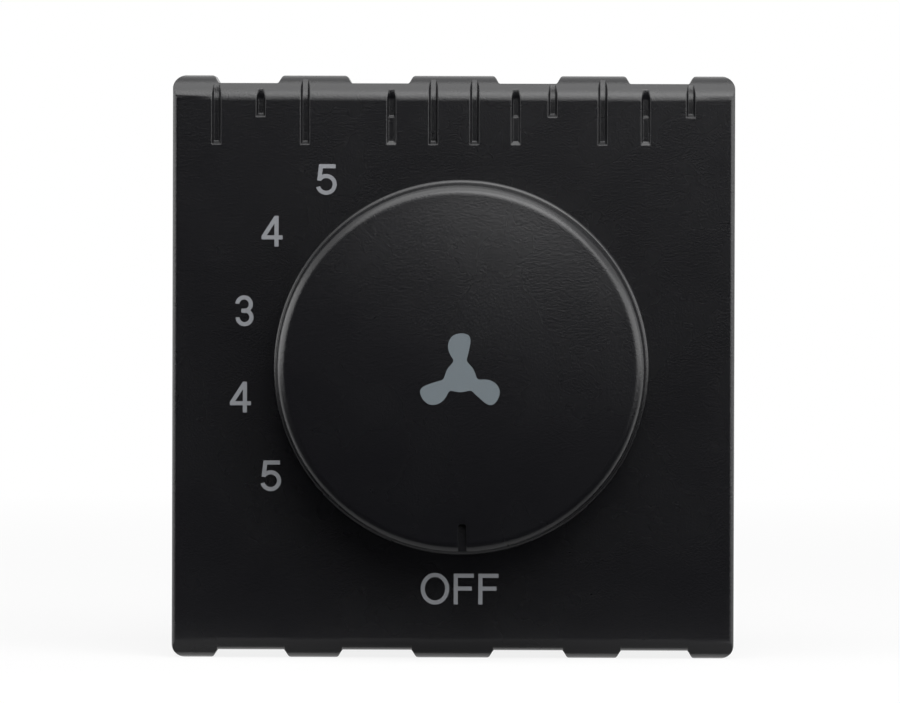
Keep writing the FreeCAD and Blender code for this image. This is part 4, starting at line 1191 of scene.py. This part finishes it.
@dataclass
class FanSign:
    """A plain three-bladed fan printed in the middle of the knob's face."""

    blades: int = 3
    hub: float = 1.3 * MM
    hub_drop: float = 0.63 * MM
    # Distance from the hub's middle, sideways shift and width at a blade's neck, belly and tip
    sections: tuple[tuple[float, float, float], ...] = (
        (1.5 * MM, -0.05 * MM, 1.2 * MM), (2.3 * MM, -0.2 * MM, 1.85 * MM), (3.5 * MM, 0.1 * MM, 1.68 * MM))
    thickness: float = 0.1 * MM
    knob: Knob = field(default_factory=Knob)

    def draw_blade(self, sign: Piece) -> None:
        """Draw the hub's upper side out to a blade.

        Args:
            sign: The sign, in edit mode.
        """
        half = math.pi / (3 * self.blades)
        reach, shift, width = self.hub * math.cos(half), 0.0, 2 * self.hub * math.sin(half)
        pick(sign, Element.EDGE, lambda p: p.z > reach - NEAR)
        for next_reach, next_shift, next_width in self.sections:
            bpy.ops.mesh.extrude_region_move(
                TRANSFORM_OT_translate={"value": (next_shift - shift, 0, next_reach - reach)})
            bpy.ops.transform.resize(value=(next_width / width, 1, 1), center_override=(next_shift, 0, 0))
            reach, shift, width = next_reach, next_shift, next_width

    def build(self) -> Piece:
        """Return the sign, riding on the knob: a hub with drawn-out blades, rounded by subdivision."""
        bpy.ops.object.select_all(action="DESELECT")
        sides = 3 * self.blades
        bpy.ops.mesh.primitive_circle_add(vertices=sides, radius=self.hub, fill_type="NGON",
                                          rotation=(math.pi / 2, math.pi / sides, 0))
        sign = fixed_piece("fan_sign")
        with editing(sign, Element.EDGE):
            for _ in range(self.blades):
                self.draw_blade(sign)
                bpy.ops.mesh.select_all(action="SELECT")
                bpy.ops.transform.rotate(value=2 * math.pi / self.blades, orient_axis="Y",
                                         center_override=(0, 0, 0))
            bpy.ops.mesh.select_all(action="SELECT")
            bpy.ops.mesh.normals_make_consistent(inside=False)
            bpy.ops.transform.translate(
                value=(self.knob.axis_x, self.knob.low.y + self.thickness, -self.hub_drop))
        smooth = sign.modifiers.new("rounding", "SUBSURF")
        smooth.levels = smooth.render_levels = 4
        thicken = sign.modifiers.new("ink", "SOLIDIFY")
        thicken.thickness = self.thickness
        for modifier in (smooth, thicken):
            bpy.ops.object.modifier_apply(modifier=modifier.name)
        shade(sign, 30)
        settle(sign, Body.KNOB, SIGN_INK, "knob_plastic")
        return sign


@dataclass
class RearParts:
    """What shows at the back: housing, terminal block and screws, with their edges broken."""

    moulded_edge: float = 0.15 * MM
    screw_edge: float = 0.12 * MM

    def build(self) -> None:
        """Build the rear pieces from the frame's own solids."""
        for node, name, finish, slot in (
                ("rear_housing", "rear_housing_charcoal", HOUSING_PC, "housing_plastic"),
                ("terminal_block", "terminal_block_grey", TERMINAL_PA, "terminal_plastic")):
            settle(refined_copy(node, name, self.moulded_edge), Body.HOUSING, finish, slot, node)
        for node, name, body in (
                ("housing_screws", "housing_screws_zinc", Body.HOUSING),
                ("terminal_screw_1", "terminal_screw_left_zinc", Body.LEFT_SCREW),
                ("terminal_screw_2", "terminal_screw_right_zinc", Body.RIGHT_SCREW)):
            settle(refined_copy(node, name, self.screw_edge), body, ZINC_STEEL, "plated_screw", node)


# Studio

@dataclass(frozen=True)
class Softbox:
    """A flat lamp that points at the object's middle."""

    name: str
    place: tuple[float, float, float]
    size: tuple[float, float]
    power: float

    def build(self) -> None:
        """Add the lamp."""
        bpy.ops.object.select_all(action="DESELECT")
        bpy.ops.object.light_add(type="AREA", location=self.place)
        lamp = name_piece(self.name)
        lamp.data.shape = "RECTANGLE"
        lamp.data.size, lamp.data.size_y = self.size
        lamp.data.energy = self.power
        lamp.rotation_euler = (-Vector(self.place)).to_track_quat("-Z", "Y").to_euler()


@dataclass(frozen=True)
class Card:
    """A sheet of felt that shows in reflections only and keeps those of the front dark."""

    name: str
    finish: Finish
    place: tuple[float, float, float]
    size: tuple[float, float]
    upright: bool = False

    def build(self) -> None:
        """Add the card."""
        bpy.ops.object.select_all(action="DESELECT")
        bpy.ops.mesh.primitive_plane_add(size=1.0, location=self.place,
                                         rotation=(math.pi / 2 if self.upright else 0, 0, 0))
        card = name_piece(self.name)
        card.scale = (*self.size, 1)
        bpy.ops.object.transform_apply(location=True, rotation=True, scale=True)
        self.finish.dress(card)
        card.visible_camera = card.visible_diffuse = card.visible_shadow = False


@dataclass
class Studio:
    """Pale floor, white surround, soft lamps, black cards and the photograph's camera."""

    azimuth: float = 0.6
    elevation: float = 0.9
    roll: float = 0.16
    distance: float = 0.7
    lens: float = 350.0
    sensor: float = 36.0
    aim: tuple[float, float] = (-0.26 * MM, 1.25 * MM)
    floor_size: float = 8.0
    floor_colour: str = "#f4f4f4"
    shadow_reach: tuple[float, float] = (0.08, 0.4)
    shadow_depth: float = 0.15
    ambient: float = 0.1
    lamps: tuple[Softbox, ...] = (
        Softbox("overhead_softbox", (0.0, -0.21, 0.41), (0.6, 0.6), 2.3),
        Softbox("upper_right_softbox", (0.09, -0.29, 0.2), (0.26, 0.26), 0.64),
        Softbox("left_softbox", (-0.45, -0.06, 0.03), (0.6, 0.4), 1.45),
        Softbox("right_softbox", (0.43, -0.2, 0.02), (0.6, 0.45), 1.85),
    )
    cards: tuple[Card, ...] = (
        Card("card_behind_camera", BLACK_FELT, (0.0, -0.9, 0.1), (1.6, 1.6), upright=True),
        Card("far_card_on_floor", BLACK_FELT, (0.0, -0.46, CAD_BOUNDS[0].z + 0.05 * MM), (1.6, 0.88)),
        Card("near_card_on_floor", GREY_FELT, (0.0, -0.0139, CAD_BOUNDS[0].z + 0.05 * MM), (1.6, 0.0122)),
    )

    def shown(self, tree: Tree) -> Socket:
        """Return an output that is 1 for what the eye sees straight, in a reflection or through glass.

        Args:
            tree: The node tree that asks.
        """
        path = add_node(tree, "ShaderNodeLightPath")
        seen = add_node(tree, "ShaderNodeMath", attributes={"operation": "MAXIMUM"},
                        links={0: path.outputs["Is Camera Ray"], 1: path.outputs["Is Glossy Ray"]})
        return add_node(tree, "ShaderNodeMath", attributes={"operation": "MAXIMUM"},
                        links={0: seen.outputs[0], 1: path.outputs["Is Transmission Ray"]}).outputs[0]

    def surround(self) -> None:
        """Make the world white to the eye and in reflections, and dimmer as a lamp."""
        world = bpy.data.worlds.new("white_surround")
        bpy.context.scene.world = world
        world.use_nodes = True
        tree = world.node_tree
        level = add_node(tree, "ShaderNodeMapRange", values={"To Min": self.ambient, "To Max": 1.0},
                         links={"Value": self.shown(tree)})
        background = tree.nodes["Background"]
        background.inputs["Color"].default_value = (1, 1, 1, 1)
        tree.links.new(level.outputs["Result"], background.inputs["Strength"])

    def floor(self) -> None:
        """Add the pale floor under the object."""
        bpy.ops.object.select_all(action="DESELECT")
        bpy.ops.mesh.primitive_plane_add(size=self.floor_size, location=(0, 0, CAD_BOUNDS[0].z))
        floor = fixed_piece("floor")
        paint = Finish("pale_floor", self.floor_colour, roughness=0.9, specular=0.1)
        paint.dress(floor)
        self.whiten(paint.material().node_tree)

    def whiten(self, tree: Tree) -> None:
        """Let the floor meet the white surround, with the object's shadow kept near it.

        Args:
            tree: The floor's node tree.
        """
        place = add_node(tree, "ShaderNodeTexCoord").outputs["Object"]
        away = add_node(tree, "ShaderNodeVectorMath", attributes={"operation": "LENGTH"}, links={0: place})
        near, far = self.shadow_reach
        cover = add_node(tree, "ShaderNodeMapRange",
                         values={"From Min": near, "From Max": far, "To Min": 1 - self.shadow_depth,
                                 "To Max": 1.0},
                         links={"Value": away.outputs["Value"]})
        share = add_node(tree, "ShaderNodeMath", attributes={"operation": "MULTIPLY"},
                         links={0: cover.outputs["Result"], 1: self.shown(tree)})
        white = add_node(tree, "ShaderNodeEmission", values={"Color": (1, 1, 1, 1), "Strength": 1.0})
        mix = add_node(tree, "ShaderNodeMixShader",
                       links={0: share.outputs[0], 1: tree.nodes["Principled BSDF"].outputs[0],
                              2: white.outputs[0]})
        tree.links.new(mix.outputs[0], tree.nodes["Material Output"].inputs["Surface"])

    def camera(self) -> None:
        """Add the camera at the photograph's angle."""
        turn, tilt = math.radians(self.azimuth), math.radians(self.elevation)
        back = Vector((math.sin(turn) * math.cos(tilt), -math.cos(turn) * math.cos(tilt), math.sin(tilt)))
        target = Vector((self.aim[0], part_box("front_cover")[0].y, self.aim[1]))
        bpy.ops.object.select_all(action="DESELECT")
        bpy.ops.object.camera_add(location=target + back * self.distance)
        camera = name_piece("photo_camera")
        level = (-back).to_track_quat("-Z", "Y")
        camera.rotation_euler = (level @ Quaternion((0, 0, 1), math.radians(self.roll))).to_euler()
        camera.data.lens = self.lens
        camera.data.sensor_width = self.sensor
        camera.data.clip_start = 0.01
        camera.data.dof.use_dof = False
        bpy.context.scene.camera = camera

    def build(self) -> None:
        """Set up the whole studio."""
        bpy.context.scene.view_settings.view_transform = "Standard"
        self.surround()
        self.floor()
        for item in (*self.lamps, *self.cards):
            item.build()
        self.camera()


def main() -> None:
    """Build the pieces in order, dress what the frame shows as it is, and light the scene."""
    logging.basicConfig(level=logging.INFO, format="%(name)s %(message)s")
    FrontCover().build()
    Knob().build()
    DialPrint().build()
    FanSign().build()
    RearParts().build()
    for node, finish in NODE_FINISHES.items():
        finish.dress(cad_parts[node])
        LOG.info("%s: %s", node, finish.name)
    Studio().build()


if __name__ == "__main__":
    main()
